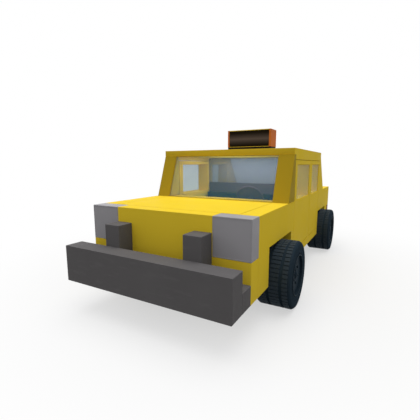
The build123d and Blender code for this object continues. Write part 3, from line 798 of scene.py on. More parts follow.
class CopyTree(Nodes):
    """Geometry Nodes tree that sets copies of a shape in a ring, a row or a grid."""

    # Each layout's node, that node's properties, and the tree's input for each of its sockets
    LAYOUTS = {
        Layout.RING: ("MeshCircle", {}, {"Vertices": "Count", "Radius": "Radius"}),
        Layout.ROW: ("MeshLine", {"mode": "OFFSET"}, {"Count": "Count", "Offset": "Step"}),
        Layout.GRID: (
            "MeshGrid",
            {},
            {"Vertices X": "Count", "Vertices Y": "Rows", "Size X": "Width", "Size Y": "Height"},
        ),
    }
    # Inputs that every layout has, and the kind of each input that isn't a plain number
    SHARED = ("Shape", "Turn", "Place", "Finish")
    KINDS = {"Count": "Int", "Rows": "Int", "Step": "Vector", "Shape": "Object", "Turn": "Vector",
             "Place": "Vector", "Finish": "Material"}

    def __init__(self, layout: Layout) -> None:
        """Builds the tree.

        Args:
            layout: How its copies are set.
        """
        super().__init__(bpy.data.node_groups.new(f"copies_in_{layout.value}", "GeometryNodeTree"))
        kind, settings, feeds = self.LAYOUTS[layout]
        face = self.tree.interface
        face.new_socket("Geometry", in_out="OUTPUT", socket_type="NodeSocketGeometry")
        self.sockets: dict[str, str] = {}
        for label in (*feeds.values(), *self.SHARED):
            socket = f"NodeSocket{self.KINDS.get(label, 'Float')}"
            self.sockets[label] = face.new_socket(label, in_out="INPUT", socket_type=socket).identifier
        given = self.node("NodeGroupInput").outputs
        fed = {label: given[source] for label, source in feeds.items()}
        points = self.node(f"GeometryNode{kind}", fed, **settings).outputs["Mesh"]
        shape = self.node("GeometryNodeObjectInfo", {"Object": given["Shape"]}).outputs["Geometry"]
        copies = self.node("GeometryNodeInstanceOnPoints", {"Points": points, "Instance": shape})
        if layout is Layout.RING:
            self.feed(copies, {"Rotation": self._outward()})
        turn = self.node("FunctionNodeEulerToRotation", {"Euler": given["Turn"]}).outputs[0]
        moves = {"Geometry": copies.outputs["Instances"], "Rotation": turn, "Translation": given["Place"]}
        moved = self.node("GeometryNodeTransform", moves).outputs["Geometry"]
        real = self.node("GeometryNodeRealizeInstances", {"Geometry": moved}).outputs["Geometry"]
        dressed = self.node("GeometryNodeSetMaterial", {"Geometry": real, "Material": given["Finish"]})
        self.node("NodeGroupOutput", {"Geometry": dressed.outputs["Geometry"]})

    def _outward(self) -> Socket:
        """Rotation that turns a copy's X axis away from the ring's middle.

        Returns:
            Rotation socket.
        """
        place = self.node("GeometryNodeInputPosition").outputs[0]
        parts = self.node("ShaderNodeSeparateXYZ", {0: place}).outputs
        euler = self.node("ShaderNodeCombineXYZ", {"Z": self.maths("ARCTAN2", parts["Y"], parts["X"])})
        return self.node("FunctionNodeEulerToRotation", {"Euler": euler.outputs[0]}).outputs[0]

    def copies(
        self,
        name: str,
        shape: Mould,
        finish: Finish,
        body: str = "body",
        slot: Slot | None = None,
        **sizes: Any,
    ) -> Piece:
        """Makes one plain piece of the copies, on its body.

        Args:
            name: Piece's name.
            shape: Shape that is copied, about the origin.
            finish: Finish on the copies.
            body: Body that they move with.
            slot: Not used.
            sizes: Values for the tree's inputs, by label.

        Returns:
            The piece, at the origin.
        """
        pattern = shape.piece(name + "_pattern", finish)
        holder = linked(name + "_holder", bpy.data.meshes.new(name + "_holder"))
        modifier = holder.modifiers.new("copies", "NODES")
        modifier.node_group = self.tree
        for label, value in {"Shape": pattern, "Finish": finish.material(), **sizes}.items():
            modifier[self.sockets[label]] = value
        mesh = baked(holder)
        mesh.name = name
        for spent in (holder, pattern):
            bpy.data.objects.remove(spent)
        return settle(shown(name, mesh, finish), body)


@cache
def tree_for(layout: Layout) -> CopyTree:
    """The tree that sets copies one way, built when it is first asked for."""
    return CopyTree(layout)


def row_of(
    name: str, shape: Mould, finish: Finish, count: int, first: Point, last: Point, slot: Slot | None = None
) -> Piece:
    """Sets copies of a shape on the body in a straight row.

    Args:
        name: Piece's name.
        shape: Shape that is copied, about the origin.
        finish: Finish on the copies.
        count: How many there are.
        first: Place of the first.
        last: Place of the last.
        slot: Passed on to the copies, not used.

    Returns:
        The piece, at the origin.
    """
    step = [(end - start) / (count - 1) for start, end in zip(first, last)]
    place = [float(part) for part in first]
    return tree_for(Layout.ROW).copies(name, shape, finish, slot=slot, Count=count, Step=step, Place=place)


def dome(radius: float, height: float, facet: int, tip: float) -> list[Point]:
    """Half section of a domed head as (height, radius), its facets in degrees and its tip a share."""
    turns = [radians(angle) for angle in range(0, 91, facet)]
    return [(height * sin(turn), radius * max(cos(turn), tip)) for turn in turns]


def opening(low: Point, high: Point) -> tuple[Point, ...]:
    """Corners of an upright opening in order, as (place along it, height)."""
    return ((low[0], low[1]), (high[0], low[1]), (high[0], high[1]), (low[0], high[1]))


def raked_edges(node: str, end: End) -> tuple[float, float]:
    """Furthest places along the cab of a raked pane's foot and head.

    Args:
        node: Pane's node.
        end: End of the cab that they are furthest to.

    Returns:
        Place of the foot and place of the head.
    """
    low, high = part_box(node)
    points = [vert.co for vert in frame["nodes"][node].data.vertices]
    foot = max(end.value * point.y for point in points if point.z < low.z + NEAR)
    head = max(end.value * point.y for point in points if point.z > high.z - NEAR)
    return end.value * foot, end.value * head


@dataclass
class Bodywork:
    """Painted outer panels, black frame and inner walls, with a strip of darker paint over the windscreen, a
    painted shade on the roof's front face.
    """

    PANELS = ("front_fenders", "rear_quarters", "front_panel", "rear_panel", "roof_panel", "centre_pillars",
              "sills", "hood", "boot_lid", "front_bulkhead")
    FRAME = ("chassis_rails", "cross_members", "floor_pan", "wheel_liners", "rear_bulkhead", "seat_risers")

    edge: float = 0.004
    frame_edge: float = 0.003
    # How far the strip of painted shade stands proud of the roof's front face
    header_proud: float = 0.0015

    def build(self) -> None:
        """Dresses every panel and frame member."""
        doors = [corner_name(row, "door", side) for row, side in CORNERS]
        for node in (*self.PANELS, *doors):
            dress(node, YELLOW, self.edge)
        # The pillars take the darker copy of the yellow, a painted shade
        dress("windscreen_pillars", PILLAR_PAINTED_SHADE, self.edge)
        for node in self.FRAME:
            dress(node, CHASSIS_BLACK, self.frame_edge)
        log.info("dressed %d panels", len(self.PANELS) + len(doors))
        self._header()

    def _header(self) -> None:
        """Adds a strip of darker paint along the roof's front edge, a painted shade on that face."""
        low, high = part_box("roof_panel")
        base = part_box("windscreen_glass")[1].z
        strip = Mould().block(
            (low.x + self.edge, low.y - self.header_proud, base + self.edge),
            (high.x - self.edge, low.y + self.header_proud, high.z - self.edge),
            self.header_proud / 2,
        )
        strip.fit("windscreen_header", HEADER_PAINTED_SHADE)


@dataclass
class Bumpers:
    """Grained bumpers, with a row of bolts on the valance and on the rear bumper."""

    edge: float = 0.006
    bolt_radius: float = 0.011
    bolt_height: float = 0.006
    bolt_count: int = 5
    bolt_reach: float = 0.28

    def build(self) -> None:
        """Dresses the bars and adds their bolts."""
        for node in ("front_bumper_bar", "front_valance", "bumper_guards", "rear_bumper"):
            dress(node, BUMPER_GREY, self.edge)
        for node in ("front_valance", "rear_bumper"):
            self._bolts(node)

    def _bolts(self, node: str) -> None:
        """Adds a row of domed bolts on the middle of a bar's top.

        Args:
            node: Bar's node.
        """
        low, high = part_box(node)
        section = dome(self.bolt_radius, self.bolt_height, facet=18, tip=0.001)
        head = Mould().turned(section, steps=16).laid(UP, ACROSS, BACK)
        first, last = ((x, (low.y + high.y) / 2, high.z) for x in (-self.bolt_reach, self.bolt_reach))
        row_of(f"{node}_bolts", head, BUMPER_GREY, self.bolt_count, first, last)


@dataclass
class Lamps:
    """Fluted lenses with slim bezels."""

    edge: float = 0.004
    bezel: float = 0.007
    proud: float = 0.002

    def build(self) -> None:
        """Dresses head and tail lamps and frames their lenses."""
        for node, end, finish in (("headlamps", End.FRONT, LAMP_GREY), ("tail_lamps", End.REAR, TAIL_RED)):
            dress(node, finish, self.edge)
            for side in Side:
                self._bezel(node, end, side, finish)

    def _bezel(self, node: str, end: End, side: Side, finish: Finish) -> None:
        """Adds the slim raised bezel round one lens.

        Args:
            node: Lamps' node.
            end: End of the cab that the lens looks to.
            side: Side of the cab.
            finish: Lens's finish.
        """
        low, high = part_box(node)
        y = low.y if end is End.FRONT else high.y
        foot = (high.x - self._width() + self.edge, low.z + self.edge)
        head = (high.x - self.edge, high.z - self.edge)
        corners = [(side.value * x, y, z) for x, z in opening(foot, head)]
        ring = Mould().collar(corners, self.bezel, BACK * end.value, -self.proud, self.proud)
        ring.fit(f"{node.removesuffix('s')}_bezel_{side.word}", finish)

    @staticmethod
    def _width() -> float:
        """Width of one lamp, from the nose panel's upper part between the headlamps.

        Returns:
            Width in metres.
        """
        points = [vert.co for vert in frame["nodes"]["front_panel"].data.vertices]
        top = max(point.z for point in points)
        half = max(point.x for point in points if point.z > top - NEAR)
        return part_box("headlamps")[1].x - half


@dataclass
class Glazing:
    """Tinted panes held by painted beads."""

    bead: float = 0.007
    proud: float = 0.003
    sunk: float = 0.003

    def build(self) -> None:
        """Dresses the panes and beads each one into its opening."""
        dress("partition_glass", PARTITION_GLASS)
        # The windscreen's bead takes the pillars' darker paint, a painted shade; the rear glass's bead takes
        # the plain yellow
        for node, end, paint in (
            ("windscreen_glass", End.FRONT, PILLAR_PAINTED_SHADE),
            ("rear_glass", End.REAR, YELLOW),
        ):
            dress(node, GLASS)
            self._screen_bead(node, end, paint)
        for row, side in CORNERS:
            node = corner_name(row, "door_glass", side)
            dress(node, DOOR_GLASS)
            self._door_bead(node, corner_name(row, "door", side))

    def _screen_bead(self, node: str, end: End, paint: Finish) -> None:
        """Adds the bead round a raked pane.

        Args:
            node: Pane's node.
            end: End of the cab that it looks to.
            paint: Paint of the pillars beside it, which at the windscreen is a darker copy of the yellow, a
                painted shade.
        """
        low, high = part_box(node)
        foot, head = raked_edges(node, end)
        corners = [(low.x, foot, low.z), (high.x, foot, low.z), (high.x, head, high.z), (low.x, head, high.z)]
        across = Vector(corners[1]) - Vector(corners[0])
        rise = Vector(corners[3]) - Vector(corners[0])
        bead = Mould().collar(corners, self.bead, across.cross(rise) * -end.value, -self.sunk, self.proud)
        bead.fit(node.replace("glass", "bead"), paint)

    def _door_bead(self, node: str, body: str) -> None:
        """Adds the beads at both faces of a door's pane.

        Args:
            node: Pane's node.
            body: Door that it moves with.
        """
        low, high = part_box(node)
        bead = Mould()
        for x, way in ((low.x, -ACROSS), (high.x, ACROSS)):
            corners = [(x, y, z) for y, z in opening((low.y, low.z), (high.y, high.z))]
            bead.collar(corners, self.bead, way, -self.sunk, self.proud)
        bead.fit(node.replace("glass", "bead"), YELLOW, body)


@dataclass
class Wheels:
    """Treaded tyres on dark disc wheels with nuts and caps."""

    # Sidewall as (in from the side, up from the bead), then shoulder as (in from the side, down from the top)
    SIDEWALL = ((0.022, 0.0), (0.006, 0.006), (0.001, 0.026), (0.003, 0.030), (0.003, 0.066), (0.0, 0.070),
                (0.0, 0.096))
    SHOULDER = ((0.004, 0.020), (0.014, 0.009))
    # Rim's lip as (in from its outer end, radius)
    LIP = ((0.004, 0.205), (0.001, 0.2085), (0.004, 0.212), (0.008, 0.2085))
    # Places of the rows of tread blocks across a tyre
    ROWS = (-0.128, -0.064, 0.0, 0.064, 0.128)
    # Nut's half section as (height, radius)
    NUT = ((-0.002, 0.014), (0.0104, 0.014), (0.013, 0.0105), (0.013, 0.0005))

    facets: int = 72
    skirt: float = 0.008
    crown: float = 0.030
    blocks: int = 52
    block_fill: float = 0.80
    block_width: float = 0.053
    block_edge: float = 0.002
    block_root: float = 0.004
    block_drop: float = 0.0006
    rim_edge: float = 0.002
    dish: float = 0.028
    nuts: int = 5
    nut_circle: float = 0.086
    cap_radius: float = 0.042
    cap_height: float = 0.018
    cap_root: float = 0.002

    def build(self) -> None:
        """Builds the four wheels."""
        for axle, side in CORNERS:
            self._tyre(axle, side)
            self._disc(axle, side)

    def _tyre(self, axle: Axle, side: Side) -> None:
        """Replaces one plain tyre with a carcass and its tread blocks.

        Args:
            axle: Axle that it is on.
            side: Side of the cab.
        """
        node, body = corner_name(axle, "tyre", side), corner_name(axle, "wheel", side)
        low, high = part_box(node)
        centre = (low + high) / 2
        half, radius = (high.x - low.x) / 2, (high.z - low.z) / 2
        rim_low, rim_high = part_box(corner_name(axle, "rim", side))
        wall = self._wall(half, radius, (rim_high.z - rim_low.z) / 2)
        section = [*wall, *((-x, r) for x, r in reversed(wall))]
        tyre = Mould().turned(section, self.facets, centre, closed=True).piece(f"{node}_carcass", TYRE)
        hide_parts(node)
        settle(tyre, body)
        pitch = tau * radius / self.blocks
        depth = self.skirt + self.block_root
        reach = Vector((depth, pitch * self.block_fill, self.block_width)) / 2
        for index, offset in enumerate(self.ROWS):
            tree_for(Layout.RING).copies(
                f"{node}_tread_{index + 1}",
                Mould().block(-reach, reach, self.block_edge, steps=1),
                TREAD,
                body,
                Count=self.blocks,
                Radius=radius - depth / 2 - self.block_drop,
                Turn=(pitch / radius / 2 * (index % 2), pi / 2, 0.0),
                Place=(centre.x + offset, centre.y, centre.z),
            )

    def _wall(self, half: float, radius: float, bead: float) -> list[Point]:
        """One side of the carcass's section, from its bead to its tread.

        Args:
            half: Half of the tyre's width.
            radius: Its outer radius.
            bead: Radius of the rim that it sits on.

        Returns:
            Points as (place across, radius).
        """
        lower = [(half - x, bead + r) for x, r in self.SIDEWALL]
        upper = [(half - x, radius - r) for x, r in (*self.SHOULDER, (self.crown, self.skirt))]
        return lower + upper

    def _disc(self, axle: Axle, side: Side) -> None:
        """Dresses one rim and adds its nuts, cap and outer lip.

        Args:
            axle: Axle that it is on.
            side: Side of the cab.
        """
        node, body = corner_name(axle, "rim", side), corner_name(axle, "wheel", side)
        dress(node, WHEEL_DARK, self.rim_edge)
        low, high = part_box(node)
        centre = (low + high) / 2
        outer = high.x if side is Side.LEFT else low.x
        seat = (outer - side.value * self.dish, centre.y, centre.z)
        tree_for(Layout.RING).copies(
            f"{node}_nuts",
            Mould().turned(self.NUT, steps=6).laid(UP * side.value, ACROSS, BACK),
            WHEEL_DARK,
            body,
            Count=self.nuts,
            Radius=self.nut_circle,
            Turn=FACING_SIDEWAYS,
            Place=seat,
        )
        crown = dome(self.cap_radius, self.cap_height, facet=15, tip=0.005)
        cap = [(side.value * x, r) for x, r in ((-self.cap_root, self.cap_radius), *crown)]
        Mould().turned(cap, steps=32, centre=seat).fit(f"{node}_cap", WHEEL_DARK, body)
        lip = [(outer - side.value * depth - centre.x, r) for depth, r in self.LIP]
        Mould().turned(lip, steps=64, centre=centre, closed=True).fit(f"{node}_lip", WHEEL_DARK, body)


@dataclass
class RunningGear:
    """Axles, knuckles and engine in bare and painted iron."""

    edge: float = 0.002
    engine_edge: float = 0.006

    def build(self) -> None:
        """Dresses the axles, knuckles and engine."""
        for node in ("front_axle_beam", "rear_axle", "knuckle_left", "knuckle_right"):
            dress(node, AXLE_STEEL, self.edge)
        dress("engine_block", ENGINE_IRON, self.engine_edge)


@dataclass
class EngineBay:
    """Rocker covers, air cleaner, radiator, battery and splash trays round the plain engine."""

    # Air cleaner's half section as (height, radius)
    CLEANER = ((0.0, 0.0525), (0.02, 0.063), (0.022, 0.105), (0.073, 0.105), (0.085, 0.093), (0.085, 0.012),
               (0.103, 0.010), (0.105, 0.001))

    cover_offset: float = 0.20
    cover_half: float = 0.08
    cover_height: float = 0.045
    cover_front: float = 0.04
    cover_back: float = 0.12
    cover_edge: float = 0.014
    cover_ribs: int = 8
    cover_rib: Point = (0.06, 0.006, 0.006)
    cover_rib_root: float = 0.004
    cover_rib_margin: float = 0.05
    rib_edge: float = 0.003
    cleaner_front: float = 0.04
    radiator_half: float = 0.34
    radiator_gap: float = 0.045
    radiator_depth: float = 0.05
    radiator_foot: float = 0.02
    radiator_height: float = 0.44
    radiator_frame: float = 0.02
    tank_height: float = 0.045
    tank_proud: float = 0.006
    tank_edge: float = 0.008
    foot_tank: float = 0.03
    fins: int = 60
    fin_half: float = 0.0015
    fin_inset: float = 0.004
    fin_gap: float = 0.002
    battery: Point = (0.14, 0.21, 0.17)
    battery_gap: float = 0.06
    battery_edge: float = 0.004
    lid_share: float = 0.82
    lid_lip: float = 0.003
    lid_groove: float = 0.006
    post: float = 0.009
    post_inset: float = 0.04
    post_root: float = 0.004
    post_height: float = 0.016
    tray: float = 0.005
    tray_gap: float = 0.003
    tray_edge: float = 0.002
    tray_ribs: int = 9
    tray_rib_half: float = 0.008
    tray_rib_inset: float = 0.02
    tray_rib_margin: float = 0.10

    def build(self) -> None:
        """Builds what shows with the hood up."""
        self._covers()
        self._cleaner()
        self._radiator()
        self._battery()
        self._trays()

    def _covers(self) -> None:
        """Adds a ribbed rocker cover each side."""
        low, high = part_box("engine_block")
        start, end = low.y + self.cover_front, high.y - self.cover_back
        top = high.z + self.cover_height
        wide, deep, tall = self.cover_rib
        for side in Side:
            x = side.value * self.cover_offset
            near, far = (x - self.cover_half, start, high.z), (x + self.cover_half, end, top)
            cover = Mould().block(near, far, self.cover_edge, steps=3)
            cover.fit(f"rocker_cover_{side.word}", CHASSIS_BLACK, slot=Slot.ENGINE_IRON)
            rib = Mould().block((-wide, -deep, -self.cover_rib_root), (wide, deep, tall), self.rib_edge)
            row_of(
                f"rocker_cover_ribs_{side.word}",
                rib,
                CHASSIS_BLACK,
                self.cover_ribs,
                (x, start + self.cover_rib_margin, top),
                (x, end - self.cover_rib_margin, top),
                Slot.ENGINE_IRON,
            )

    def _cleaner(self) -> None:
        """Adds the round air cleaner between the covers."""
        low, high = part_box("engine_block")
        middle = (0.0, (low.y + high.y) / 2 - self.cleaner_front, high.z)
        can = Mould().turned(self.CLEANER, steps=48).laid(UP, ACROSS, BACK, middle)
        can.fit("air_cleaner", CHASSIS_BLACK, slot=Slot.ENGINE_IRON)

    def _radiator(self) -> None:
        """Adds the radiator's tanks and its upright fins behind the nose."""
        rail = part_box("chassis_rails")[1].z
        half = self.radiator_half
        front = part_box("front_panel")[1].y + self.radiator_gap
        back = front + self.radiator_depth
        base, top = rail + self.radiator_foot, rail + self.radiator_height
        proud = self.tank_proud
        case = Mould()
        for foot, head in ((rail, base + self.foot_tank), (top - self.tank_height, top)):
            case.block((-half, front - proud, foot), (half, back + proud, head), self.tank_edge)
        for side in Side:
            outer, inner = side.value * half, side.value * (half - self.radiator_frame)
            case.block((outer, front, base), (inner, back, top), self.rib_edge)
        case.fit("radiator_tanks", CHASSIS_BLACK, slot=Slot.ENGINE_IRON)
        fin = Mould().block(
            (-self.fin_half, front + self.fin_inset, base),
            (self.fin_half, back - self.fin_inset, top - self.radiator_frame),
        )
        reach = half - self.radiator_frame - self.fin_gap
        row_of("radiator_fins", fin, ENGINE_IRON, self.fins, (-reach, 0, 0), (reach, 0, 0))

    def _battery(self) -> None:
        """Adds the battery, with its lid and posts, on the right wheel liner ahead of the cowl."""
        liner = self._liner()
        width, length, height = self.battery
        x = -(min(abs(point.x) for point in liner) + max(abs(point.x) for point in liner)) / 2
        base = max(point.z for point in liner) - LAP
        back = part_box("front_bulkhead")[0].y - self.battery_gap
        front = back - length
        lid, top = base + height * self.lid_share, base + height
        case = Mould()
        for grow, foot, head in (
            (0.0, base, lid - self.lid_lip),
            (-self.lid_groove, lid - self.lid_groove, lid + self.lid_groove),
            (self.lid_lip, lid, top),
        ):
            near = (x - width / 2 - grow, front - grow, foot)
            case.block(near, (x + width / 2 + grow, back + grow, head), self.battery_edge)
        case.fit("battery", CABIN_PLASTIC)
        posts = Mould()
        for y in (front + self.post_inset, back - self.post_inset):
            near = (x - self.post, y - self.post, top - self.post_root)
            posts.block(near, (x + self.post, y + self.post, top + self.post_height), self.battery_edge)
        posts.fit("battery_posts", AXLE_STEEL)

    @staticmethod
    def _liner() -> list[Vector]:
        """Points of the front wheel liners."""
        return [vert.co for vert in frame["nodes"]["wheel_liners"].data.vertices if vert.co.y < 0]

    def _trays(self) -> None:
        """Adds a ribbed splash tray each side, on the frame rail and round engine and wheel liner."""
        liner = self._liner()
        liner_inner = min(abs(point.x) for point in liner)
        liner_front = min(point.y for point in liner)
        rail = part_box("chassis_rails")[1].z
        top = rail + self.tray
        start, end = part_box("front_panel")[1].y + self.tray_gap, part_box("floor_pan")[0].y - self.tray_gap
        engine_low, engine_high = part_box("engine_block")
        inner = engine_high.x + self.tray_gap
        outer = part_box("partition_panel")[1].x - self.tray_gap
        liner_gap = liner_inner - self.tray_gap
        reach = (liner_inner - inner) / 2 - self.tray_rib_inset
        for side in Side:
            tray = Mould()
            for near, far, front, back in (
                (inner, liner_gap, start, end),
                (liner_gap, outer, start, liner_front - self.tray_gap),
                (0.0, inner, start, engine_low.y - self.tray_gap),
                (0.0, inner, engine_high.y + self.tray_gap, end),
            ):
                corner = (side.value * near, front, rail - LAP)
                tray.block(corner, (side.value * far, back, top), self.tray_edge)
            tray.fit(f"splash_tray_{side.word}", CHASSIS_BLACK)
            half = self.tray_rib_half
            rib = Mould().block((-reach, -half, -ROOT), (reach, half, self.tray), self.rib_edge)
            x = side.value * (inner + liner_inner) / 2
            first, last = (x, start + self.tray_rib_margin, top), (x, end - self.tray_rib_margin, top)
            row_of(f"splash_tray_ribs_{side.word}", rib, CHASSIS_BLACK, self.tray_ribs, first, last)


@dataclass
class Boot:
    """Ribbed rubber mat over the boot's floor."""

    thickness: float = 0.008
    gap: float = 0.002
    edge: float = 0.003
    rib_pitch: float = 0.055
    rib_width: float = 0.014
    rib_height: float = 0.004

    def build(self) -> None:
        """Lays the mat between the wheel liners and behind them."""
        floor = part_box("floor_pan")[1].z
        top = floor + self.thickness
        front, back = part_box("rear_bulkhead")[1].y + self.gap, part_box("rear_panel")[0].y - self.gap
        liner_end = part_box("wheel_liners")[1].y + self.gap
        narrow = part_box("rear_seat_back")[1].x - self.gap
        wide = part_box("partition_panel")[1].x - self.gap
        mat = Mould()
        for half, start, end in ((narrow, front, liner_end), (wide, liner_end, back)):
            mat.block((-half, start, floor - LAP), (half, end, top), self.edge)
        mat.fit("boot_mat", MAT_RUBBER)
        rib = Mould().block(
            (-self.rib_width / 2, front + self.rib_pitch, -ROOT),
            (self.rib_width / 2, back - self.rib_pitch, self.rib_height),
            self.edge,
        )
        count = int(2 * (narrow - self.rib_pitch) / self.rib_pitch)
        reach = self.rib_pitch * (count - 1) / 2
        row_of("boot_mat_ribs", rib, MAT_RUBBER, count, (-reach, 0, top), (reach, 0, top))


@dataclass
class DoorTrim:
    """Lining, arm rest, pull and speaker grille inside each door."""

    thickness: float = 0.006
    margin: float = 0.030
    latch_margin: float = 0.05
    split: float = 0.52
    split_half: float = 0.002
    lining_edge: float = 0.0025
    rest_rise: float = 0.06
    rest_front: float = 0.10
    rest_back: float = 0.12
    rest_root: float = 0.004
    rest_depth: float = 0.050
    rest_height: float = 0.055
    rest_edge: float = 0.014
    pull_along: Point = (0.03, 0.09)
    pull_up: Point = (0.01, 0.05)
    pull_depth: float = 0.020
    pull_edge: float = 0.006
    speaker: float = 0.12
    speaker_inset: float = 0.12
    holes: int = 11
    hole: Point = (0.003, 0.003, 0.001)
    hole_edge: float = 0.001

    def build(self) -> None:
        """Builds the four doors' linings."""
        for row, side in CORNERS:
            self._line(row, side)

    def _line(self, row: Axle, side: Side) -> None:
        """Lines one door.

        Args:
            row: Row of doors.
            side: Side of the cab.
        """
        body = corner_name(row, "door", side)
        low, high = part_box(body)
        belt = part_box(corner_name(row, "door_glass", side))[0].z
        inner = low.x if side is Side.LEFT else high.x
        start, end = low.y + self.margin, high.y - self.margin - self.latch_margin
        base, top = low.z + self.margin, belt - self.margin

        def slab(mould: Mould, reach: Point, y: Point, z: Point, edge: float) -> None:
            """Adds a block that stands inwards from the door's inner face."""
            near, far = (inner - side.value * part for part in reach)
            mould.block((near, y[0], z[0]), (far, y[1], z[1]), edge, steps=3)

        split = base + (top - base) * self.split
        lining = Mould()
        for foot, head in ((base, split - self.split_half), (split + self.split_half, top)):
            slab(lining, (-ROOT, self.thickness), (start, end), (foot, head), self.lining_edge)
        lining.fit(f"{body}_lining", DOOR_VINYL, body)
        foot = split + self.rest_rise
        rest = Mould()
        rest_y = (start + self.rest_front, end - self.rest_back)
        slab(rest, (self.rest_root, self.rest_depth), rest_y, (foot, foot + self.rest_height), self.rest_edge)
        pull_y = [start + part for part in self.pull_along]
        pull_z = [foot + part for part in self.pull_up]
        slab(rest, (self.rest_root, self.pull_depth), pull_y, pull_z, self.pull_edge)
        rest.fit(f"{body}_arm_rest", CABIN_PLASTIC, body)
        hole = Vector(self.hole)
        tree_for(Layout.GRID).copies(
            f"{body}_speaker_grille",
            Mould().block(-hole, hole, self.hole_edge, steps=1),
            SEAL_RUBBER,
            body,
            Count=self.holes,
            Rows=self.holes,
            Width=self.speaker,
            Height=self.speaker,
            Turn=FACING_SIDEWAYS,
            Place=(
                inner - side.value * (self.thickness + LAP),
                start + self.speaker_inset,
                base + self.speaker_inset,
            ),
        )


@dataclass
class Cabin:
    """Dashboard with gauges and vents, steering wheel, mats and linings."""

    # Horn pad's half section as (height, radius)
    HORN_PAD = ((0.004, 0.060), (0.012, 0.058), (0.018, 0.048), (0.021, 0.030), (0.022, 0.001))

    dash_edge: float = 0.004
    dash_depth: float = 0.09
    dash_drop: float = 0.049
    wheel_edge: float = 0.003
    partition_edge: float = 0.002
    gauge_offset: float = 0.085
    gauge_rise: float = 0.015
    dial: float = 0.041
    dial_face: float = 0.002
    bezel_width: float = 0.004
    bezel_height: float = 0.008
    vent_places: Point = (-0.10, 0.05)
    vent_inset: float = 0.11
    vent_half: float = 0.055
    vent_share: float = 0.36
    vent_drop: float = 0.028
    vent_rim: float = 0.006
    vent_sunk: float = 0.002
    vent_proud: float = 0.005
    vent_slats: int = 6
    slat: Point = (0.049, 0.004, 0.0015)
    slat_edge: float = 0.0008
    slat_margin: float = 0.009
    glove_inset: float = 0.18
    glove_rise: Point = (0.012, 0.082)
    glove_proud: float = 0.007
    catch_across: Point = (-0.40, -0.36)
    catch_rise: Point = (0.062, 0.074)
    catch_reach: Point = (0.004, 0.014)
    glove_edge: float = 0.004
    mat_across: Point = (0.05, 0.64)
    mat_overlap: float = 0.02
    mat_thickness: float = 0.008
    mat_edge: float = 0.004
    roof_front: float = 0.015
    roof_back: float = 0.05
    roof_side: float = 0.012
    roof_depth: float = 0.007
    roof_edge: float = 0.003
    lining_margin: float = 0.006
    lining_depth: float = 0.005
    lining_edge: float = 0.002

    def build(self) -> None:
        """Builds the cabin's fixed trim."""
        dress("dashboard", CABIN_PLASTIC, self.dash_edge)
        dress("steering_wheel", WHEEL_PLASTIC, self.wheel_edge)
        dress("partition_panel", PARTITION_GREY, self.partition_edge)
        self._gauges()
        self._vents()
        self._glove_box()
        self._horn_pad()
        self._mats()
        self._roof_lining()
        self._pillar_linings()

    def _dash_face(self) -> tuple[float, float, float, float]:
        """Place and size of the dashboard's rear face.

        Returns:
            Its half width, its place along the cab, its base and its top.
        """
        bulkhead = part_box("front_bulkhead")[1]
        low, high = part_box("dashboard")
        return high.x, bulkhead.y + self.dash_depth, low.z, bulkhead.z - self.dash_drop

    def _gauges(self) -> None:
        """Adds two plain round gauges either side of the column."""
        _, face, base, top = self._dash_face()
        low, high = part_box("steering_wheel")
        dial, tall = self.dial, self.bezel_height
        plate = [(-ROOT, dial), (self.dial_face - LAP, dial), (self.dial_face, dial - ROOT)]
        rim = [(-ROOT, dial - ROOT), (tall, dial), (tall, dial + self.bezel_width),
               (-ROOT, dial + 2 * self.bezel_width)]
        for index, offset in enumerate((-self.gauge_offset, self.gauge_offset)):
            middle = ((low.x + high.x) / 2 + offset, face, (base + top) / 2 + self.gauge_rise)
            for name, finish, section, closed in (
                ("dial", GAUGE_PALE, plate, False),
                ("bezel", CABIN_PLASTIC, rim, True),
            ):
                part = Mould().turned(section, steps=40, closed=closed).laid(BACK, ACROSS, UP, middle)
                part.fit(f"gauge_{name}_{index + 1}", finish)

    def _vents(self) -> None:
        """Adds slatted vents at the middle and ends of the dashboard."""
        half, face, base, top = self._dash_face()
        height = (top - base) * self.vent_share
        foot = top - height - self.vent_drop
        wide, deep, thick = self.slat
        ends = half - self.vent_inset
        for index, x in enumerate((-ends, *self.vent_places, ends)):
            corners = opening((x - self.vent_half, foot), (x + self.vent_half, foot + height))
            ring = [(along, face, z) for along, z in corners]
            rim = Mould().collar(ring, self.vent_rim, BACK, -self.vent_sunk, self.vent_proud)
            rim.fit(f"vent_rim_{index + 1}", CABIN_PLASTIC)
            slat = Mould().block((-wide, -ROOT, -thick), (wide, deep, thick), self.slat_edge, steps=1)
            first, last = (x, face, foot + self.slat_margin), (x, face, foot + height - self.slat_margin)
            row_of(f"vent_slats_{index + 1}", slat, SEAL_RUBBER, self.vent_slats, first, last)

    def _glove_box(self) -> None:
        """Adds the glove box lid and its catch on the passenger's side."""
        half, face, base, _ = self._dash_face()
        foot, head = (base + part for part in self.glove_rise)
        lid = Mould().block(
            (-half + self.glove_inset, face - ROOT, foot),
            (-self.glove_inset, face + self.glove_proud, head),
            self.glove_edge,
            steps=3,
        )
        near, far = zip(self.catch_across, self.catch_reach, self.catch_rise)
        seat = Vector((0, face, base))
        lid.block(seat + Vector(near), seat + Vector(far), self.glove_edge)
        lid.fit("glove_box_lid", TRIM_PLASTIC)

    def _horn_pad(self) -> None:
        """Adds the horn pad in the middle of the steering wheel."""
        joint = next(row for row in frame["joints"] if row["child"] == "steering_wheel")
        axis = Vector(joint["axis"]).normalized()
        up = axis.cross(ACROSS).normalized()
        pad = Mould().turned(self.HORN_PAD, steps=40).laid(axis, ACROSS, up, joint["pos_m"])
        pad.fit("horn_pad", TRIM_PLASTIC, "steering_wheel")

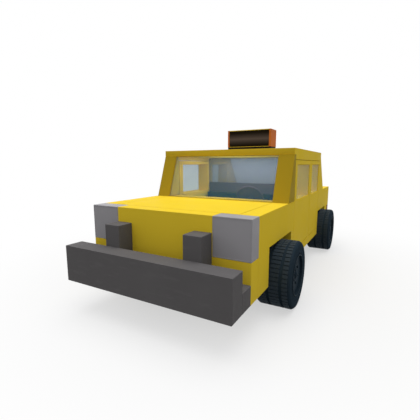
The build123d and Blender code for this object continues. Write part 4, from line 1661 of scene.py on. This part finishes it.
    def _mats(self) -> None:
        """Adds rubber mats in the foot wells."""
        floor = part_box("floor_pan")[1].z
        overlap = self.mat_overlap
        for row, start in (
            (Axle.FRONT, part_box("front_bulkhead")[1].y + overlap),
            (Axle.REAR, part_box("partition_glass")[1].y + overlap),
        ):
            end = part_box(f"{row.value}_seat_cushion")[0].y + overlap
            mat = Mould()
            for side in Side:
                inner, outer = (side.value * part for part in self.mat_across)
                top = floor + self.mat_thickness
                mat.block((inner, start, floor - LAP), (outer, end, top), self.mat_edge)
            mat.fit(f"{row.value}_mat", MAT_RUBBER)

    def _roof_lining(self) -> None:
        """Adds the cloth lining under the roof, in front of and behind the partition."""
        low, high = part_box("partition_glass")
        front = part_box("windscreen_glass")[1].y + self.roof_front
        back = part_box("roof_panel")[1].y - self.roof_back
        half = high.x - self.roof_side
        lining = Mould()
        for start, end in ((front, low.y - self.lining_margin), (high.y + self.lining_margin, back)):
            lining.block((-half, start, high.z - self.roof_depth), (half, end, high.z + LAP), self.roof_edge)
        lining.fit("roof_lining", HEADLINER)

    def _pillar_linings(self) -> None:
        """Adds a lining on the inner face of each windscreen pillar, behind the raked pane."""
        margin = self.lining_margin
        low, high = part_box("windscreen_glass")
        base, top = (place + margin for place in raked_edges("windscreen_glass", End.REAR))
        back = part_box("windscreen_pillars")[1].y - margin
        foot, head = low.z + margin, high.z - margin
        linings = Mould()
        for side in Side:
            inner = side.value * (high.x + LAP)
            corners = [(inner, base, foot), (inner, back, foot), (inner, back, head), (inner, top, head)]
            linings.plate(corners, ACROSS * -side.value * self.lining_depth, self.lining_edge)
        linings.fit("windscreen_pillar_linings", DOOR_VINYL)


@dataclass
class Seats:
    """Bench cushions and backs, stuffed by a cloth run and then sewn in channels."""

    voxel: float = 0.012
    margin: float = 0.010
    back_margin: float = 0.004
    corner: float = 0.035
    back_corner: float = 0.020
    pressure: float = 4.0
    frames: int = 20
    swell: float = 0.014
    held: float = 0.006
    channel: float = 0.1175
    groove: float = 0.007
    groove_width: float = 0.008
    welt: float = 0.065
    clear: float = 0.0005
    fill: float = 0.75

    def build(self) -> None:
        """Builds the two cushions and the two backs."""
        for row in Axle:
            self._pad(f"{row.value}_seat_cushion", UP)
            self._pad(f"{row.value}_seat_back", -BACK)

    def _pad(self, node: str, face: Vector) -> None:
        """Builds one pad in its solid's place.

        Args:
            node: Solid that it replaces.
            face: Way that its sewn face looks.
        """
        low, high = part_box(node)
        lying = face.z > 0
        margin = self.margin if lying else self.back_margin
        inset = Vector((margin, margin, margin))
        start, end = low + inset, high - inset
        if lying:
            start.z = low.z
        else:
            end.y = high.y
        corner = self.corner if lying else self.back_corner
        pad = Mould().block(start, end, corner, steps=4).piece(f"{node}_pad", SEAT_CLOTH)
        self._apply(pad, "REMESH", mode="VOXEL", voxel_size=self.voxel)
        self._stuff(pad, face)
        self._apply(pad, "SUBSURF", levels=1, render_levels=1)
        self._sew(pad, face, low, high)
        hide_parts(node)
        settle(pad)

    @staticmethod
    def _apply(pad: Piece, kind: str, **settings: Any) -> None:
        """Runs a modifier on the pad and keeps its result.

        Args:
            pad: Pad to change.
            kind: Modifier's type.
            settings: Properties set on the modifier.
        """
        modifier = pad.modifiers.new(kind.lower(), kind)
        for key, value in settings.items():
            setattr(modifier, key, value)
        mesh = baked(pad)
        coat(mesh, SEAT_CLOTH)
        pad.data = mesh

    def _stuff(self, pad: Piece, face: Vector) -> None:
        """Swells the pad by cloth under pressure, held where it rests.

        Args:
            pad: Pad of even squares.
            face: Way that its sewn face looks.
        """
        rest = self._points(pad.data)
        along = rest @ np.array(face)
        held = np.nonzero(along < along.min() + self.held)[0]
        group = pad.vertex_groups.new(name="held")
        group.add(held.tolist(), 1.0, "REPLACE")
        settings = pad.modifiers.new("stuffing", "CLOTH").settings
        settings.use_pressure = True
        settings.uniform_pressure_force = self.pressure
        settings.effector_weights.gravity = 0.0
        settings.vertex_group_mass = "held"
        scene = bpy.context.scene
        for number in range(1, self.frames + 1):
            scene.frame_set(number)
        graph = bpy.context.evaluated_depsgraph_get()
        swollen = self._points(pad.evaluated_get(graph).data)
        pad.modifiers.clear()
        pad.vertex_groups.clear()
        scene.frame_set(1)
        move = swollen - rest
        length = np.maximum(np.linalg.norm(move, axis=1, keepdims=True), 1e-9)
        self._set_points(pad.data, rest + move * np.minimum(1.0, self.swell / length))

    def _sew(self, pad: Piece, face: Vector, low: Vector, high: Vector) -> None:
        """Sinks the sewn channels and keeps the pad in its solid's box.

        Args:
            pad: Stuffed pad.
            face: Way that its sewn face looks.
            low: Solid's lowest corner.
            high: Solid's highest corner.
        """
        points = self._points(pad.data)
        normals = np.empty(len(pad.data.vertices) * 3)
        pad.data.vertices.foreach_get("normal", normals)
        facing = np.clip(normals.reshape(-1, 3) @ np.array(face), 0.0, 1.0)
        run = 1 if face.z > 0 else 2
        seams = [np.abs((points[:, 0] + self.channel / 2) % self.channel - self.channel / 2)]
        seams += [np.abs(points[:, run] - line) for line in (low[run] + self.welt, high[run] - self.welt)]
        off = np.minimum.reduce(seams)
        depth = self.groove * np.exp(-((off / self.groove_width) ** 2)) * facing
        points = points - np.outer(depth, np.array(face))
        self._set_points(pad.data, np.clip(points, np.array(low) + self.clear, np.array(high) - self.clear))

    @staticmethod
    def _points(mesh: bpy.types.Mesh) -> np.ndarray:
        """Places of a mesh's points.

        Args:
            mesh: Mesh to read.

        Returns:
            One row for each point.
        """
        flat = np.empty(len(mesh.vertices) * 3)
        mesh.vertices.foreach_get("co", flat)
        return flat.reshape(-1, 3)

    @staticmethod
    def _set_points(mesh: bpy.types.Mesh, points: np.ndarray) -> None:
        """Moves a mesh's points."""
        mesh.vertices.foreach_set("co", points.reshape(-1))
        mesh.update()


@dataclass
class RoofSign:
    """Blank roof sign with a strip along the top and foot of each face."""

    edge: float = 0.002
    head_line: float = 0.010
    foot_line: float = 0.005
    proud: float = 0.0025
    strip_edge: float = 0.001

    def build(self) -> None:
        """Dresses the sign and trims its faces."""
        dress("roof_sign_base", SIGN_FOOT, self.edge)
        dress("roof_sign_case", SIGN_ORANGE, self.edge)
        dress("roof_sign_faces", SIGN_BLACK)
        face_low, face_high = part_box("roof_sign_faces")
        low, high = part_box("roof_sign_case")
        strips = Mould()
        for y, end in ((low.y, End.FRONT), (high.y, End.REAR)):
            inner, outer = y - end.value * ROOT, y + end.value * self.proud
            for foot, line in ((low.z, self.foot_line), (high.z - self.head_line, self.head_line)):
                strips.block((face_low.x, inner, foot), (face_high.x, outer, foot + line), self.strip_edge)
        strips.fit("roof_sign_strips", SIGN_LINE)


@dataclass
class Studio:
    """Floor, light and camera."""

    eye: Point = (1.725, -4.115, 1.471)
    tilt: float = 8.63
    heading: float = 29.13
    lens: float = 25.66
    sensor: float = 36.0
    floor_radius: float = 60.0
    floor_pale: float = 0.85
    floor_bounce: float = 0.26
    white_start: float = 1.2
    white_end: float = 4.2
    white_share: float = 0.55
    sky: float = 0.45
    overhead: float = 0.58
    overhead_spread: float = 60.0
    cabin_power: float = 6.6
    cabin_lift: float = 3.5
    cabin_drop: float = 0.02
    cabin_rise: float = 0.165
    cabin_share: float = 0.65

    def build(self) -> None:
        """Sets floor, sky, lights, camera and view transform."""
        bpy.context.scene.view_settings.view_transform = "Standard"
        self._floor()
        self._sky()
        self._overhead()
        self._cabin_light()
        self._camera()

    @staticmethod
    def _seen(nodes: Nodes) -> Socket:
        """Test for rays that show a surface.

        Args:
            nodes: Tree to add it to.

        Returns:
            Value socket that is 1 for camera, glossy and transmission rays.
        """
        path = nodes.node("ShaderNodeLightPath").outputs
        seen = nodes.maths("MAXIMUM", path["Is Camera Ray"], path["Is Glossy Ray"])
        return nodes.maths("MAXIMUM", seen, path["Is Transmission Ray"])

    def _floor(self) -> None:
        """Adds the pale floor, which keeps the shadow near the cab and turns white far off."""
        circle = bmesh.new()
        bmesh.ops.create_circle(circle, cap_ends=True, segments=96, radius=self.floor_radius)
        data = bpy.data.meshes.new("floor")
        circle.to_mesh(data)
        circle.free()
        material = bpy.data.materials.new("pale_floor")
        material.use_nodes = True
        data.materials.append(material)
        nodes = Nodes(material.node_tree)
        seen = self._seen(nodes)
        place = nodes.node("ShaderNodeTexCoord").outputs["Object"]
        far = nodes.node("ShaderNodeVectorMath", {0: place}, operation="LENGTH").outputs["Value"]
        start, end = self.white_start, self.white_end
        fade = nodes.spread(far, start, end, self.white_share, 1.0, interpolation_type="SMOOTHSTEP")
        grey = nodes.spread(seen, 0.0, 1.0, self.floor_bounce, self.floor_pale)
        matt = nodes.node("ShaderNodeBsdfDiffuse", {"Color": grey}).outputs[0]
        white = nodes.node("ShaderNodeEmission").outputs[0]
        share = nodes.maths("MULTIPLY", fade, seen)
        blend = nodes.node("ShaderNodeMixShader", {0: share, 1: matt, 2: white})
        nodes.node("ShaderNodeOutputMaterial", {"Surface": blend.outputs[0]})
        linked("floor", data)

    def _sky(self) -> None:
        """Sets a dim sky that is white where it is seen."""
        world = bpy.data.worlds.new("studio")
        bpy.context.scene.world = world
        world.use_nodes = True
        nodes = Nodes(world.node_tree)
        strength = nodes.spread(self._seen(nodes), 0.0, 1.0, self.sky, 1.0)
        light = nodes.node("ShaderNodeBackground", {"Color": (1.0, 1.0, 1.0, 1.0), "Strength": strength})
        nodes.node("ShaderNodeOutputWorld", {"Surface": light.outputs[0]})

    def _overhead(self) -> None:
        """Adds the broad light overhead."""
        lamp = bpy.data.lights.new("overhead", "SUN")
        lamp.energy = self.overhead * pi
        lamp.angle = radians(self.overhead_spread)
        linked("overhead", lamp)

    def _cabin_light(self) -> None:
        """Adds soft unseen light, down from the roof and up from the seats, each side of the partition."""
        low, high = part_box("partition_glass")
        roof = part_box("roof_panel")
        partition = (low.y + high.y) / 2
        seat_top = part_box("front_seat_back")[1].z
        ways = (
            ("down", high.z - self.cabin_drop, 0.0, self.cabin_power),
            ("up", seat_top + self.cabin_rise, pi, self.cabin_lift),
        )
        for row, start, end in ((Axle.FRONT, roof[0].y, partition), (Axle.REAR, partition, roof[1].y)):
            for way, height, turn, power in ways:
                name = f"cabin_{row.value}_{way}"
                lamp = bpy.data.lights.new(name, "AREA")
                lamp.shape = "RECTANGLE"
                lamp.size = 2 * high.x * self.cabin_share
                lamp.size_y = (end - start) * self.cabin_share
                lamp.energy = power
                holder = linked(name, lamp)
                holder.location = (0.0, (start + end) / 2, height)
                holder.rotation_euler = (turn, 0.0, 0.0)
                holder.visible_camera = False
                holder.visible_glossy = False
                holder.visible_transmission = False

    def _camera(self) -> None:
        """Sets the camera at the photograph's viewing angle."""
        camera = bpy.data.cameras.new("camera")
        camera.sensor_width = self.sensor
        camera.lens = self.lens
        holder = linked("camera", camera)
        holder.location = self.eye
        holder.rotation_euler = (radians(90 - self.tilt), 0.0, radians(self.heading))
        bpy.context.scene.camera = holder


def main() -> None:
    """Builds the cab's sub-assemblies in order, then the studio."""
    logging.basicConfig(level=logging.INFO, format="%(name)s: %(message)s")
    outside = (Bodywork, Bumpers, Lamps, Glazing, Wheels, RunningGear)
    inside = (EngineBay, Boot, DoorTrim, Cabin, Seats)
    for assembly in (*outside, *inside, RoofSign, Studio):
        assembly().build()


if __name__ == "__main__":
    main()
